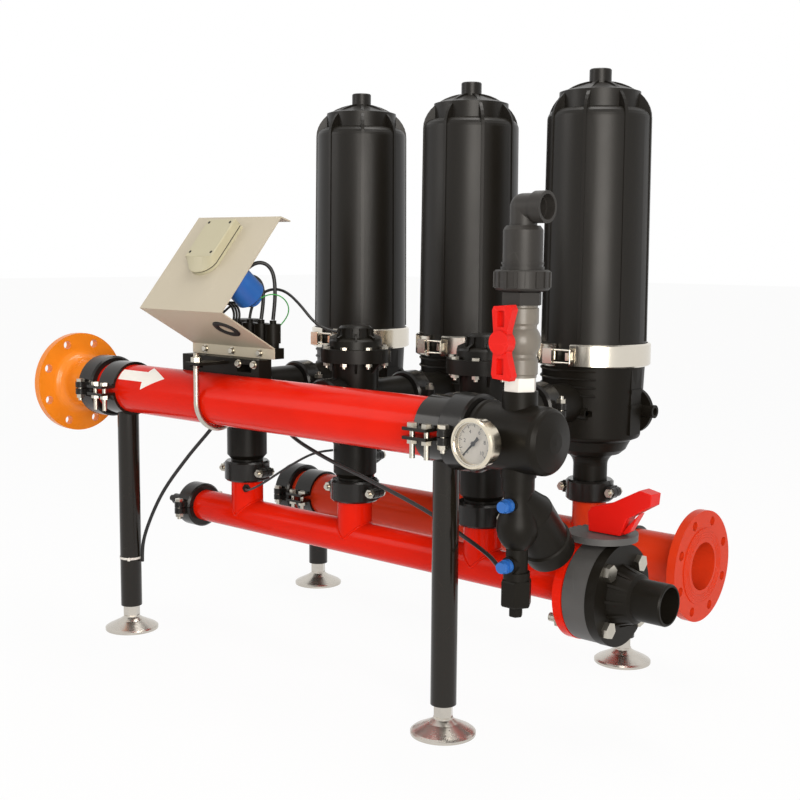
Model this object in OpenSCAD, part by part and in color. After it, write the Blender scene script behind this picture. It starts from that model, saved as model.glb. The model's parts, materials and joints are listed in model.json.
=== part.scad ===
// Three-unit automatic disc filter station for irrigation water, in millimetres.
// +X runs along the manifolds, +Y from the inlet pipe back to the filters, +Z up from the floor.

/* [Station] */
// Distance between neighbouring filter units
unit_pitch = 342; // [335:1:370]
// Height of the inlet pipe's axis above the floor
inlet_z = 561; // [550:1:580]
// Distance from the inlet pipe back to the drain pipe
drain_y = 193; // [188:1:200]
// Height of the drain pipe's axis
drain_z = 266; // [256:1:276]
// Distance from the inlet pipe back to the outlet pipe
outlet_y = 572; // [564:1:590]
// Height of the outlet pipe's axis
outlet_z = 241; // [230:1:250]

/* [Pipes] */
// Outer diameter of the inlet and outlet pipes
main_od = 108; // [104:1:112]
// Wall of the inlet and outlet pipes
main_wall = 4.5; // [3:0.5:6]
// Outer diameter of the drain pipe, risers and stubs
branch_od = 73; // [70:1:76]
// Wall of the drain pipe, risers and stubs
branch_wall = 4; // [3:0.5:5]
// Middle unit to the inlet pipe's left joint
inlet_left = 598; // [590:1:620]
// Middle unit to the inlet pipe's right joint
inlet_right = 463; // [460:1:480]
// Middle unit to the outlet pipe's left joint
outlet_left = 562; // [556:1:580]
// Middle unit to the outlet flange's face
outlet_right = 618; // [600:1:640]
// Middle unit to the drain pipe's left joint
drain_left = 516; // [500:1:530]
// Middle unit to the drain flange's face
drain_right = 590; // [580:1:600]
// Inlet stub from the pipe's skin to its joint with the valve
stub_len = 62; // [60:1:66]
// Drain riser from the pipe's axis to its joint
drain_riser = 105; // [100:1:112]
// Outlet riser from the pipe's axis to its joint
outlet_riser = 124; // [118:1:130]

/* [Flanges] */
// Outer diameter of the inlet and outlet flanges
flange_od = 229; // [220:1:236]
// Thickness of the inlet and outlet flanges
flange_t = 20; // [16:1:24]
// Bolt circle of the inlet and outlet flanges
flange_pcd = 190.5; // [186:0.5:194]
// Bolt holes in the inlet and outlet flanges
flange_holes = 8; // [4:1:8]
// Diameter of those bolt holes
flange_hole_d = 19; // [16:1:20]
// Diameter of the raised sealing face
raised_d = 157; // [145:1:165]
// Height of the raised sealing face
raised_t = 2; // [1:0.5:3]
// Inlet spool from its joint to the flange's face
spool_len = 130; // [120:1:140]
// Radius of the inlet spool's trumpet hub
hub_round = 26; // [20:1:27]
// Outer diameter of the drain flanges
drain_flange_od = 185; // [180:1:190]
// Thickness of the drain flanges
drain_flange_t = 20; // [16:1:24]
// Bolt circle of the drain flanges
drain_pcd = 145; // [140:1:150]
// Bolt diameter of the drain flanges
drain_bolt_d = 16; // [12:1:17]

/* [Grooved couplings] */
// Gap between two joined pipe ends
joint_gap = 3; // [2:0.5:4]
// Width of a pipe groove
groove_w = 8.5; // [7:0.5:9]
// Depth of a pipe groove
groove_deep = 2; // [1.5:0.5:2.5]
// Pipe end to groove on the main pipes
main_groove_in = 16; // [14:1:18]
// Pipe end to groove on the branches
branch_groove_in = 13; // [12:1:14]
// Radial thickness of a coupling housing
housing_t = 15; // [13:1:17]
// How far a coupling's ear stands out of its housing
ear_len = 20; // [18:1:22]
// Thickness of a coupling's ear
ear_t = 14; // [12:1:16]
// Diameter of the coupling bolts
coupling_bolt_d = 10; // [8:1:12]

/* [Backflush valves] */
// Diameter of the valve's barrel
valve_d = 97; // [94:1:100]
// Diameter of the valve's branch to its two side ports
run_od = 84; // [80:1:88]
// Diameter of the valve's bolted flanges
valve_flange_d = 149; // [144:1:154]
// Thickness of one valve flange
valve_flange_t = 14; // [10:1:16]
// Port axis up to the bonnet joint
valve_above = 96; // [90:1:102]
// Port axis down to the drain body joint
valve_below = 63; // [60:1:68]
// Diameter of the drain body
drain_body_d = 91; // [88:1:94]
// Bore under the bonnet
valve_bore = 80; // [76:1:82]
// Bore of the drain seat
seat_bore = 52; // [46:1:56]
// Travel of the plunger between its seats
valve_stroke = 14; // [10:1:16]
// Bolts round each valve flange
valve_bolts = 8; // [6:1:10]
// Diameter of the valve bolts
valve_bolt_d = 8; // [6:1:10]
// Height of the bonnet over its joint
bonnet_h = 61; // [56:1:68]
// Diameter of the bonnet's ribbed crown
crown_d = 74; // [66:1:80]

/* [Filters] */
// Port axis up to the joint between base and shell
rim_above = 100; // [96:1:108]
// Diameter of the shell at its foot
shell_d = 224; // [218:1:228]
// Diameter of the shell at its shoulder
shoulder_d = 217; // [210:1:218]
// Joint to the shell's shoulder
shell_h = 488; // [440:1:520]
// Height of the dome over the shoulder
dome_h = 81; // [70:1:90]
// Wall of the shell
shell_wall = 6; // [5:0.5:8]
// Diameter of the shell's clamped rim
rim_d = 231; // [230:0.5:233]
// Height of one clamped rim
rim_h = 15; // [12:1:17]
// Ribs round the shell
rib_count = 8; // [6:1:10]
// Thickness of a shell rib
rib_t = 7; // [4:0.5:10]
// How far a rib stands proud of the shell
rib_proud = 2; // [1:0.5:3]
// Diameter of the nub on the dome
nub_d = 46; // [40:1:50]
// Height of the nub on the dome
nub_h = 23; // [18:1:28]
// Outer diameter of the band clamp
clamp_od = 242; // [240:1:246]
// Height of the band clamp
clamp_h = 48; // [44:1:52]
// Diameter of the base under its rim
base_d = 219; // [214:1:222]
// Diameter of the base at its floor
base_low_d = 208; // [200:1:212]
// Joint down to the base's lower corner
base_skirt = 171; // [165:1:176]
// Wall of the base
base_wall = 7; // [5:0.5:8]
// Height of the disc stack
stack_h = 396; // [340:1:410]
// Outer diameter of the discs
disc_d = 164; // [150:1:172]
// Joint between valve and filter, measured from the valve's axis
link_reach = 172; // [168:1:180]

/* [Supports] */
// Middle unit to the left front leg
front_leg_left = 528; // [520:1:534]
// Middle unit to the right front leg
front_leg_right = 407; // [406:1:408]
// Middle unit to the left rear leg
rear_leg_left = 492; // [484:1:496]
// Middle unit to the right rear leg
rear_leg_right = 436; // [430:1:450]
// Diameter of a leg tube
leg_od = 48; // [42:1:51]
// Wall of a leg tube
leg_wall = 3; // [2:0.5:4]
// Width of a leg clamp along the pipe
leg_clamp_w = 54; // [50:1:54]
// Thickness of a leg clamp's strap
strap_t = 6; // [5:0.5:8]
// Floor to the foot of a leg tube
leg_foot = 56; // [52:1:70]
// Diameter of a foot's pad
pad_d = 120; // [100:1:126]
// Diameter of a foot's threaded stem
stem_d = 20; // [16:1:22]
// How far a foot can be screwed out
foot_travel = 40; // [30:1:50]

/* [End chamber and air stack] */
// Diameter of the end chamber
chamber_d = 116; // [112:1:120]
// Joint to the end chamber's closed end
chamber_len = 178; // [174:1:190]
// Joint to the axis of the air stack
stack_in = 102; // [98:1:106]
// Pipe axis to the top of the chamber's boss
boss_top = 81; // [76:1:86]
// Diameter of the ball valve's sockets
socket_d = 58; // [54:1:60]
// Length of the ball valve
ball_valve_len = 121; // [116:1:126]
// Diameter of the ball
ball_d = 46; // [44:1:48]
// Water way through the air stack
air_bore = 32; // [28:1:33]
// Length of the ball valve's handle
handle_len = 125; // [110:1:130]
// Diameter of the air vent's body
vent_d = 67; // [64:1:72]
// Diameter of the air vent's collar
vent_collar_d = 93; // [88:1:98]
// Reach of the vent's mouth from its axis
vent_reach = 48; // [44:1:56]

/* [Gauge] */
// Diameter of the gauge's bezel
gauge_d = 86; // [80:1:92]
// Depth of the gauge's case
gauge_depth = 34; // [30:1:40]
// Joint to the gauge's axis
gauge_in = 84; // [80:1:88]

/* [Strainer] */
// Diameter of the strainer's barrel
barrel_d = 88; // [80:1:92]
// Length of the strainer's slanting barrel
barrel_len = 166; // [160:1:168]
// Diameter of the strainer's upright tube
strainer_tube_d = 38; // [36:1:44]
// Length of the strainer's upright tube
strainer_tube_len = 178; // [170:1:186]

/* [Drain valve] */
// Thickness of the butterfly valve between its flanges
wafer_t = 48; // [44:1:54]
// Diameter of the butterfly valve's top plate
top_plate_d = 127; // [118:1:132]
// Bore of the butterfly valve
wafer_bore = 65; // [63:0.5:66]
// Reach of the lever from its hub
lever_reach = 112; // [100:1:124]
// Rise of the lever over its hub
lever_rise = 78; // [60:1:84]
// Length of the outlet stub past its flange
tail_len = 95; // [85:1:105]
// Diameter of the outlet stub
tail_d = 75; // [73:1:79]

/* [Controller] */
// Middle unit to the middle of the controller's cover
cover_left = 215; // [205:1:225]
// Width of the folded cover
cover_w = 260; // [240:1:270]
// Thickness of the cover's sheet
cover_t = 2.5; // [2:0.5:3]
// Width of the control box
box_w = 116; // [100:1:130]
// Length of the control box up the cover
box_h = 128; // [110:1:140]
// Depth of the control box
box_d = 34; // [28:1:40]
// Wire diameter of the U-bolt
u_bolt_d = 12; // [10:1:13]

/* [Hidden] */
$fn = 64;

paint_red = [0.86, 0.08, 0.03];
paint_orange = [0.98, 0.55, 0.12];
black_plastic = [0.05, 0.05, 0.05];
black_iron = [0.08, 0.08, 0.08];
steel = [0.75, 0.74, 0.72];
zinc = [0.7, 0.7, 0.7];
pvc_grey = [0.35, 0.36, 0.37];
handle_red = [0.85, 0.06, 0.05];

// Clearances
slip = 0.3;
skin = 0.2;

// Places that several pieces share
unit_x = [-unit_pitch, 0, unit_pitch];
stub_joint_y = main_od / 2 + stub_len;
link_y = drain_y + link_reach;
drain_joint_z = drain_z + drain_riser;
outlet_joint_z = outlet_z + outlet_riser;
bonnet_z = inlet_z + valve_above;
seat_z = inlet_z - valve_below;
rim_z = inlet_z + rim_above;
main_bore = main_od - 2 * main_wall;
branch_bore = branch_od - 2 * branch_wall;
inlet_len = inlet_left + inlet_right - joint_gap;
stack_x = inlet_right + stack_in;
gauge_x = inlet_right + gauge_in;
gauge_face_y = -(chamber_d / 2 + 18 + gauge_depth);
wafer_x = drain_right + wafer_t / 2;
tail_flange_x = drain_right + wafer_t;
tail_end_x = tail_flange_x + drain_flange_t + tail_len;
legs = [[-front_leg_left, 0, inlet_z], [front_leg_right, 0, inlet_z],
    [-rear_leg_left, outlet_y, outlet_z], [rear_leg_right, outlet_y, outlet_z]];

// The middle of the whole station's box
mid_x = (tail_end_x - inlet_left - spool_len) / 2;
mid_y = (outlet_y + clamp_od / 2 + min(gauge_face_y, -flange_od / 2)) / 2;

module station() { translate([-mid_x, -mid_y, 0]) children(); }
module each_unit() { for (x = unit_x) translate([x, 0, 0]) children(); }
module unit(k) { translate([unit_x[k - 1], 0, 0]) children(); }
module along_x(x, y, z) { translate([x, y, z]) rotate([0, 90, 0]) children(); }
module along_y(x, y, z) { translate([x, y, z]) rotate([-90, 0, 0]) children(); }
module around(count, phase = 0) {
    for (i = [0 : count - 1]) rotate([0, 0, phase + 360 * i / count]) children();
}
module hex(flats, h) { cylinder(d = flats / cos(30), h = h, $fn = 6); }
module ring(od, id, h) {
    difference() {
        cylinder(d = od, h = h);
        translate([0, 0, -1]) cylinder(d = id, h = h + 2);
    }
}

// A hexagon bolt with its nut, head up at the top of the grip and the nut under its foot
module fastener(d, grip, tail) {
    translate([0, 0, -d - tail]) cylinder(d = d, h = grip + d + tail + 1);
    translate([0, 0, grip + skin / 2]) hex(1.7 * d, 0.65 * d);
    translate([0, 0, -0.8 * d - skin / 2]) hex(1.7 * d, 0.8 * d);
}

// Points of an arc from angle a to angle b
function arc(cx, cy, rx, ry, a, b, n) =
    [for (i = [0 : n]) let (t = a + (b - a) * i / n) [cx + rx * cos(t), cy + ry * sin(t)]];

// Grooved pipe joints
function groove_start(inset) = joint_gap / 2 + inset;
function groove_end(inset) = groove_start(inset) + groove_w;

module joint_groove(od, inset) {
    translate([0, 0, groove_start(inset)]) ring(od + 2, od - 2 * groove_deep, groove_w);
}

module coupling_bolt_places(od) {
    for (s = [-1, 1]) translate([s * (od / 2 + housing_t + ear_len / 2 - 1), 0, 0]) rotate([-90, 0, 0]) children();
}

// One coupling about Z with its ears on X: two housing halves, split at Y = 0
module coupling(od, inset) {
    outer = od / 2 + housing_t;
    key = od / 2 - groove_deep + slip;
    key_low = groove_start(inset) + slip;
    key_high = groove_end(inset) - slip;
    cavity = outer - 5;
    bevel = 4;
    split = 2;
    ear_w = 26;
    for (s = [0, 1]) mirror([0, s, 0]) difference() {
        union() {
            rotate_extrude() polygon([[key, -key_high], [key, -key_low], [cavity, -key_low], [cavity, key_low],
                [key, key_low], [key, key_high], [outer - bevel, key_high], [outer, key_high - bevel],
                [outer, bevel - key_high], [outer - bevel, -key_high]]);
            for (e = [0, 1]) mirror([e, 0, 0]) {
                translate([outer - 4, 0, -ear_w / 2]) cube([ear_len / 2 + 3, ear_t, ear_w]);
                translate([outer + ear_len / 2 - 1, 0, 0]) rotate([-90, 0, 0]) cylinder(r = ear_len / 2 + 1, h = ear_t);
            }
        }
        translate([-od * 2, split / 2 - od * 2, -od]) cube([od * 4, od * 2, od * 2]);
        coupling_bolt_places(od) translate([0, 0, -1]) cylinder(d = coupling_bolt_d + 2 * slip, h = ear_t + 2);
    }
}

module coupling_seal(od, inset) {
    half = groove_start(inset) - 1;
    translate([0, 0, -half]) ring(od + 2 * housing_t - 10 - 2 * skin, od + 2 * skin, 2 * half);
}

module coupling_fasteners(od) {
    coupling_bolt_places(od) translate([0, 0, -ear_t]) fastener(coupling_bolt_d, 2 * ear_t, 4);
}

module lying_x() { rotate([90, 0, 90]) children(); }

module at_main_joints() {
    translate([-inlet_left, 0, inlet_z]) lying_x() children();
    translate([inlet_right, 0, inlet_z]) lying_x() children();
    translate([-outlet_left, outlet_y, outlet_z]) lying_x() children();
}

module at_branch_joints() {
    translate([-drain_left, drain_y, drain_z]) lying_x() children();
    each_unit() {
        translate([0, drain_y, drain_joint_z]) children();
        translate([0, outlet_y, outlet_joint_z]) children();
        along_y(0, stub_joint_y, inlet_z) children();
        along_y(0, link_y, inlet_z) children();
    }
}

module main_couplings() color(black_iron) station() at_main_joints() coupling(main_od, main_groove_in);
module branch_couplings() color(black_iron) station() at_branch_joints() coupling(branch_od, branch_groove_in);

module rubber_seals() color([0.12, 0.12, 0.12]) station() {
    at_main_joints() coupling_seal(main_od, main_groove_in);
    at_branch_joints() coupling_seal(branch_od, branch_groove_in);
    each_unit() translate([0, outlet_y, rim_z - seal_deep + skin / 2])
        ring(seal_d + seal_w - skin, seal_d - seal_w + skin, seal_deep - skin);
}

module coupling_bolts() color(zinc) station() {
    at_main_joints() coupling_fasteners(main_od);
    at_branch_joints() coupling_fasteners(branch_od);
}

// Pipes
module inlet_manifold() color(paint_red) station() difference() {
    union() {
        along_x(-inlet_left + joint_gap / 2, 0, inlet_z) cylinder(d = main_od, h = inlet_len);
        each_unit() along_y(0, 0, inlet_z) cylinder(d = branch_od, h = stub_joint_y - joint_gap / 2);
    }
    along_x(-inlet_left, 0, inlet_z) cylinder(d = main_bore, h = inlet_len + joint_gap);
    each_unit() along_y(0, 0, inlet_z) cylinder(d = branch_bore, h = stub_joint_y);
    along_x(-inlet_left, 0, inlet_z) joint_groove(main_od, main_groove_in);
    along_x(inlet_right, 0, inlet_z) mirror([0, 0, 1]) joint_groove(main_od, main_groove_in);
    each_unit() along_y(0, stub_joint_y, inlet_z) mirror([0, 0, 1]) joint_groove(branch_od, branch_groove_in);
}

// A flange about Z with its face at Z = 0 and its body below
module flange_disc(od, thick, pcd, holes, hole_d) {
    difference() {
        union() {
            translate([0, 0, -raised_t]) cylinder(d = min(raised_d, pcd - hole_d - 10), h = raised_t);
            translate([0, 0, -thick]) cylinder(d = od, h = thick - raised_t);
        }
        around(holes, 180 / holes) translate([pcd / 2, 0, -thick - 1]) cylinder(d = hole_d, h = thick + 2);
    }
}

module inlet_flange() color(paint_orange) station() translate([-inlet_left - spool_len, 0, inlet_z])
    rotate([0, -90, 0]) difference() {
        union() {
            flange_disc(flange_od, flange_t, flange_pcd, flange_holes, flange_hole_d);
            translate([0, 0, joint_gap / 2 - spool_len]) cylinder(d = main_od, h = spool_len - joint_gap / 2 - raised_t);
            rotate_extrude() polygon(concat([[main_od / 2 - 1, -flange_t + 1], [main_od / 2 - 1, -flange_t - hub_round]],
                arc(main_od / 2 + hub_round, -flange_t - hub_round, hub_round, hub_round, 180, 90, 8),
                [[main_od / 2 + hub_round, -flange_t + 1]]));
        }
        translate([0, 0, -spool_len]) cylinder(d = main_bore, h = spool_len + 1);
        translate([0, 0, -spool_len]) joint_groove(main_od, main_groove_in);
    }

module outlet_manifold() color(paint_red) station() difference() {
    union() {
        along_x(-outlet_left + joint_gap / 2, outlet_y, outlet_z)
            cylinder(d = main_od, h = outlet_left + outlet_right - joint_gap / 2 - raised_t);
        along_x(outlet_right, outlet_y, outlet_z)
            flange_disc(flange_od, flange_t, flange_pcd, flange_holes, flange_hole_d);
        along_x(outlet_right - flange_t - 12, outlet_y, outlet_z) cylinder(d1 = main_od, d2 = main_od + 22, h = 13);
        each_unit() translate([0, outlet_y, outlet_z]) cylinder(d = branch_od, h = outlet_riser - joint_gap / 2);
    }
    along_x(-outlet_left, outlet_y, outlet_z) cylinder(d = main_bore, h = outlet_left + outlet_right + 1);
    each_unit() translate([0, outlet_y, outlet_z]) cylinder(d = branch_bore, h = outlet_riser);
    along_x(-outlet_left, outlet_y, outlet_z) joint_groove(main_od, main_groove_in);
    each_unit() translate([0, outlet_y, outlet_joint_z]) mirror([0, 0, 1]) joint_groove(branch_od, branch_groove_in);
}

module drain_manifold() color(paint_red) station() difference() {
    union() {
        along_x(-drain_left + joint_gap / 2, drain_y, drain_z)
            cylinder(d = branch_od, h = drain_left + drain_right - joint_gap / 2 - raised_t);
        along_x(drain_right, drain_y, drain_z)
            flange_disc(drain_flange_od, drain_flange_t, drain_pcd, 4, drain_bolt_d + 2);
        each_unit() translate([0, drain_y, drain_z]) cylinder(d = branch_od, h = drain_riser - joint_gap / 2);
    }
    along_x(-drain_left, drain_y, drain_z) cylinder(d = branch_bore, h = drain_left + drain_right + 1);
    each_unit() translate([0, drain_y, drain_z]) cylinder(d = branch_bore, h = drain_riser);
    along_x(-drain_left, drain_y, drain_z) joint_groove(branch_od, branch_groove_in);
    each_unit() translate([0, drain_y, drain_joint_z]) mirror([0, 0, 1]) joint_groove(branch_od, branch_groove_in);
}

// A grooved blind cap about Z that closes a pipe end at Z = 0, dome up
module blind_cap(od, inset, wall) {
    straight = groove_end(inset) + 6;
    dome = od / 5;
    difference() {
        rotate_extrude() polygon(concat([[0, joint_gap / 2], [od / 2, joint_gap / 2]],
            arc(0, straight, od / 2, dome, 0, 90, 8)));
        translate([0, 0, -1]) cylinder(d = od - 2 * wall, h = straight);
        joint_groove(od, inset);
    }
}

module outlet_end_cap() color(black_iron) station()
    translate([-outlet_left, outlet_y, outlet_z]) rotate([0, -90, 0]) blind_cap(main_od, main_groove_in, main_wall);

// The drain's cap carries a bleed cock
module drain_end_cap() color(black_iron) station() translate([-drain_left, drain_y, drain_z]) rotate([0, -90, 0]) {
    cap_top = groove_end(branch_groove_in) + 6 + branch_od / 5;
    blind_cap(branch_od, branch_groove_in, branch_wall);
    translate([0, 0, cap_top - 4]) hex(36, 16);
    translate([0, 0, cap_top + 11]) cylinder(d = 26, h = 34);
    translate([0, 0, cap_top + 44]) cylinder(d = 15, h = 16);
}

// Backflush valves
valve_bolt_pcd = valve_flange_d - 2.4 * valve_bolt_d;
chamber_bore = valve_bore + 22;
piston_t = 8;
crown_z = bonnet_z + bonnet_h;
chamber_top = bonnet_z + 4 + piston_t + valve_stroke + 2;

module valve_bolt_holes(z, h) {
    around(valve_bolts, 22.5) translate([valve_bolt_pcd / 2, 0, z]) cylinder(d = valve_bolt_d + 2 * slip, h = h);
}

// Triangular webs that stiffen a valve flange
module gussets(count, phase, inner, outer, z, rise) {
    around(count, phase) rotate([90, 0, 0]) translate([0, 0, -2.5])
        linear_extrude(5) polygon([[inner - 4, z], [outer, z], [inner - 1, z + rise], [inner - 4, z + rise]]);
}

module valve_bodies() color(black_plastic) station() each_unit() translate([0, drain_y, 0]) difference() {
    port_len = groove_end(branch_groove_in) + 8;
    front = drain_y - stub_joint_y;
    union() {
        translate([0, 0, seat_z]) cylinder(d = valve_d, h = valve_above + valve_below);
        translate([0, 0, bonnet_z - valve_flange_t]) cylinder(d = valve_flange_d, h = valve_flange_t);
        translate([0, 0, seat_z]) cylinder(d = valve_flange_d - 14, h = valve_flange_t / 2);
        along_y(0, -front + joint_gap / 2, inlet_z) cylinder(d = branch_od, h = front + link_reach - joint_gap);
        along_y(0, -front + port_len, inlet_z) cylinder(d = run_od, h = front + link_reach - 2 * port_len);
        for (n = [[4, 45], [2, 0]]) {
            gussets(n[0], n[1], valve_d / 2, valve_flange_d / 2 - 4, bonnet_z - valve_flange_t + 0.5, -24);
            gussets(n[0], n[1], valve_d / 2, valve_flange_d / 2 - 10, seat_z + valve_flange_t / 2 - 0.5, 20);
        }
    }
    translate([0, 0, seat_z - 1]) cylinder(d = seat_bore, h = valve_above + valve_below);
    translate([0, 0, seat_z + valve_flange_t]) cylinder(d = valve_bore, h = valve_above + valve_below);
    along_y(0, -front, inlet_z) cylinder(d = branch_bore, h = front + link_reach);
    along_y(0, -front, inlet_z) joint_groove(branch_od, branch_groove_in);
    along_y(0, link_reach, inlet_z) mirror([0, 0, 1]) joint_groove(branch_od, branch_groove_in);
    valve_bolt_holes(bonnet_z - valve_flange_t - 1, valve_flange_t + 2);
    lower_bolt_places() translate([0, 0, -1]) cylinder(d = valve_bolt_d - 2 + 2 * slip, h = valve_flange_t);
}

lower_bolt_pcd = valve_flange_d - 14 - 2.2 * valve_bolt_d;
module lower_bolt_places() {
    around(valve_bolts, 22.5) translate([lower_bolt_pcd / 2, 0, seat_z]) children();
}

module valve_drain_bodies() color(black_plastic) station() each_unit() translate([0, drain_y, 0]) difference() {
    neck = drain_joint_z + groove_end(branch_groove_in) + 4;
    union() {
        translate([0, 0, seat_z - valve_flange_t / 2]) cylinder(d = valve_flange_d - 14, h = valve_flange_t / 2);
        translate([0, 0, neck + 10]) cylinder(d = drain_body_d, h = seat_z - neck - 10);
        translate([0, 0, neck]) cylinder(d1 = branch_od, d2 = drain_body_d, h = 10.1);
        translate([0, 0, drain_joint_z + joint_gap / 2]) cylinder(d = branch_od, h = neck - drain_joint_z);
        gussets(8, 0, drain_body_d / 2, valve_flange_d / 2 - 10, seat_z - valve_flange_t / 2 + 0.5, -24);
    }
    translate([0, 0, drain_joint_z]) cylinder(d = branch_bore, h = seat_z - drain_joint_z + 1);
    translate([0, 0, drain_joint_z]) joint_groove(branch_od, branch_groove_in);
    lower_bolt_places() translate([0, 0, -valve_flange_t]) cylinder(d = valve_bolt_d - 2 + 2 * slip, h = valve_flange_t + 1);
}

module valve_bonnets() color(black_plastic) station() each_unit() translate([0, drain_y, 0]) difference() {
    shoulder = chamber_top + 6;
    union() {
        rotate_extrude() polygon([[0, bonnet_z], [valve_flange_d / 2, bonnet_z],
            [valve_flange_d / 2, bonnet_z + valve_flange_t], [chamber_bore / 2 + 5, bonnet_z + valve_flange_t],
            [chamber_bore / 2 + 4, shoulder - 4], [chamber_bore / 2, shoulder], [crown_d / 2, shoulder + 3],
            [crown_d / 2 - 3, crown_z - 4], [crown_d / 2 - 7, crown_z], [0, crown_z]]);
        around(12) translate([crown_d / 2 - 5, -2.5, shoulder - 1]) cube([7, 5, crown_z - shoulder - 4]);
        around(8, 0) rotate([90, 0, 0]) translate([0, 0, -2.5]) linear_extrude(5)
            polygon([[crown_d / 2 - 3, shoulder - 3], [chamber_bore / 2 + 4, shoulder - 3],
                [chamber_bore / 2 + 2, shoulder + 4], [crown_d / 2 - 3, shoulder + 12]]);
    }
    translate([0, 0, bonnet_z - 1]) cylinder(d = chamber_bore, h = chamber_top - bonnet_z + 1);
    valve_bolt_holes(bonnet_z - 1, valve_flange_t + 2);
}

module valve_plunger(k) color([0.2, 0.2, 0.22]) station() unit(k) translate([0, drain_y, 0]) {
    foot = seat_z + valve_flange_t + slip;
    piston = bonnet_z + 4;
    translate([0, 0, foot]) cylinder(d = valve_bore - 10, h = 8);
    translate([0, 0, foot + 7]) cylinder(d = 14, h = piston - foot - 6);
    translate([0, 0, piston]) cylinder(d = chamber_bore - 4 * slip, h = piston_t);
}

module valve_flange_bolts() color(zinc) station() each_unit() translate([0, drain_y, 0]) {
    around(valve_bolts, 22.5) translate([valve_bolt_pcd / 2, 0, bonnet_z - valve_flange_t])
        fastener(valve_bolt_d, 2 * valve_flange_t, 3);
    lower_bolt_places() translate([0, 0, -valve_flange_t / 2]) fastener(valve_bolt_d - 2, valve_flange_t, 2);
}

// Filters
seal_d = 2 * (rim_d / 2 - 12);
seal_w = 6;
seal_deep = 4;
base_floor = rim_z - base_skirt;
disc_seat_z = rim_z + 26;
core_d = branch_od + 13;
disc_bore = core_d + 6;
shoulder_z = rim_z + shell_h;
apex_z = shoulder_z + dome_h;
step_d = shoulder_d - 48;
rib_phases = [0, 7, 17];

module base_ribs(z) {
    rotate([0, 0, -170]) translate([0, 0, z]) rotate_extrude(angle = 116)
        polygon([[base_low_d / 2 - 3, 0], [base_d / 2 + 2, 0], [base_d / 2 + 3, 2], [base_d / 2 + 2, 4], [base_low_d / 2 - 3, 4]]);
}

module filter_base(k) color(black_plastic) station() unit(k) translate([0, outlet_y, 0]) {
    top_r = base_d / 2;
    low_r = base_low_d / 2;
    neck_r = branch_od / 2;
    nozzle_end = outlet_y - link_y - joint_gap / 2;
    port_z = inlet_z - 20;
    difference() {
        union() {
            rotate_extrude() polygon(concat([[0, outlet_joint_z + joint_gap / 2], [neck_r, outlet_joint_z + joint_gap / 2],
                [neck_r, base_floor - 70]], arc(neck_r + 26, base_floor - 70, 26, 26, 180, 90, 6),
                [[neck_r + 38, base_floor - 34], [neck_r + 48, base_floor - 14]],
                arc(low_r - 10, base_floor, 10, 10, -45, 0, 3),
                [[top_r, rim_z - rim_h - 10], [rim_d / 2 - 3, rim_z - rim_h], [rim_d / 2, rim_z - rim_h + 2], [rim_d / 2, rim_z],
                [0, rim_z]]));
            along_y(0, -nozzle_end, inlet_z) cylinder(d = branch_od, h = nozzle_end);
            along_y(0, -nozzle_end + groove_end(branch_groove_in) + 8, inlet_z) cylinder(d = run_od, h = nozzle_end - 60);
            for (i = [0 : 3]) base_ribs(rim_z - 34 - 17 * i);
            translate([low_r - 8, -20, base_floor + 4]) cube([12, 40, base_skirt - 34]);
            for (z = [base_floor + 60, base_floor + 92]) translate([low_r - 8, -21, z]) cube([14, 42, 8]);
            along_x(-34, 10 - low_r, port_z) cylinder(d = 26, h = 84);
            along_x(low_r - 40, 42, port_z) cylinder(d = 28, h = 66);
            translate([low_r - 30, 36, port_z]) rotate([-90, 0, 0]) cylinder(r = 50, h = 10);
        }
        // Water space round the discs, then the way out through the core
        rotate_extrude() polygon([[core_d / 2, base_floor + 2], [low_r - base_wall, base_floor + 2],
            [top_r - base_wall, rim_z - rim_h - 10], [top_r - base_wall, rim_z + 1], [core_d / 2, rim_z + 1]]);
        translate([0, 0, outlet_joint_z]) cylinder(d = branch_bore, h = rim_z - outlet_joint_z + 1);
        along_y(0, -nozzle_end - 1, inlet_z) cylinder(d = branch_bore, h = nozzle_end + 1 - core_d / 2 - 1);
        translate([0, 0, outlet_joint_z]) joint_groove(branch_od, branch_groove_in);
        along_y(0, -outlet_y + link_y, inlet_z) joint_groove(branch_od, branch_groove_in);
        translate([0, 0, rim_z - seal_deep]) ring(seal_d + seal_w, seal_d - seal_w, seal_deep + 1);
        along_x(38, 10 - low_r, port_z) cylinder(d = 15, h = 20);
        along_x(low_r + 14, 42, port_z) cylinder(d = 16, h = 20);
    }
}

// Shell skin as radius and height, drawn in by an inset for its inner wall
function shell_outline(inset) = concat(
    [[shell_d / 2 - inset, rim_z + rim_h - 1], [shoulder_d / 2 - inset, shoulder_z]],
    arc(shoulder_d / 2 - 20, shoulder_z, 20 - inset, 20 - inset, 15, 90, 4),
    [[step_d / 2 - inset, shoulder_z + 21 - inset], [step_d / 2 - inset, shoulder_z + 56 - inset]],
    [[nub_d / 2 + 12 - inset, apex_z - 9 - inset], [0, apex_z - 3 - inset]]);

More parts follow.
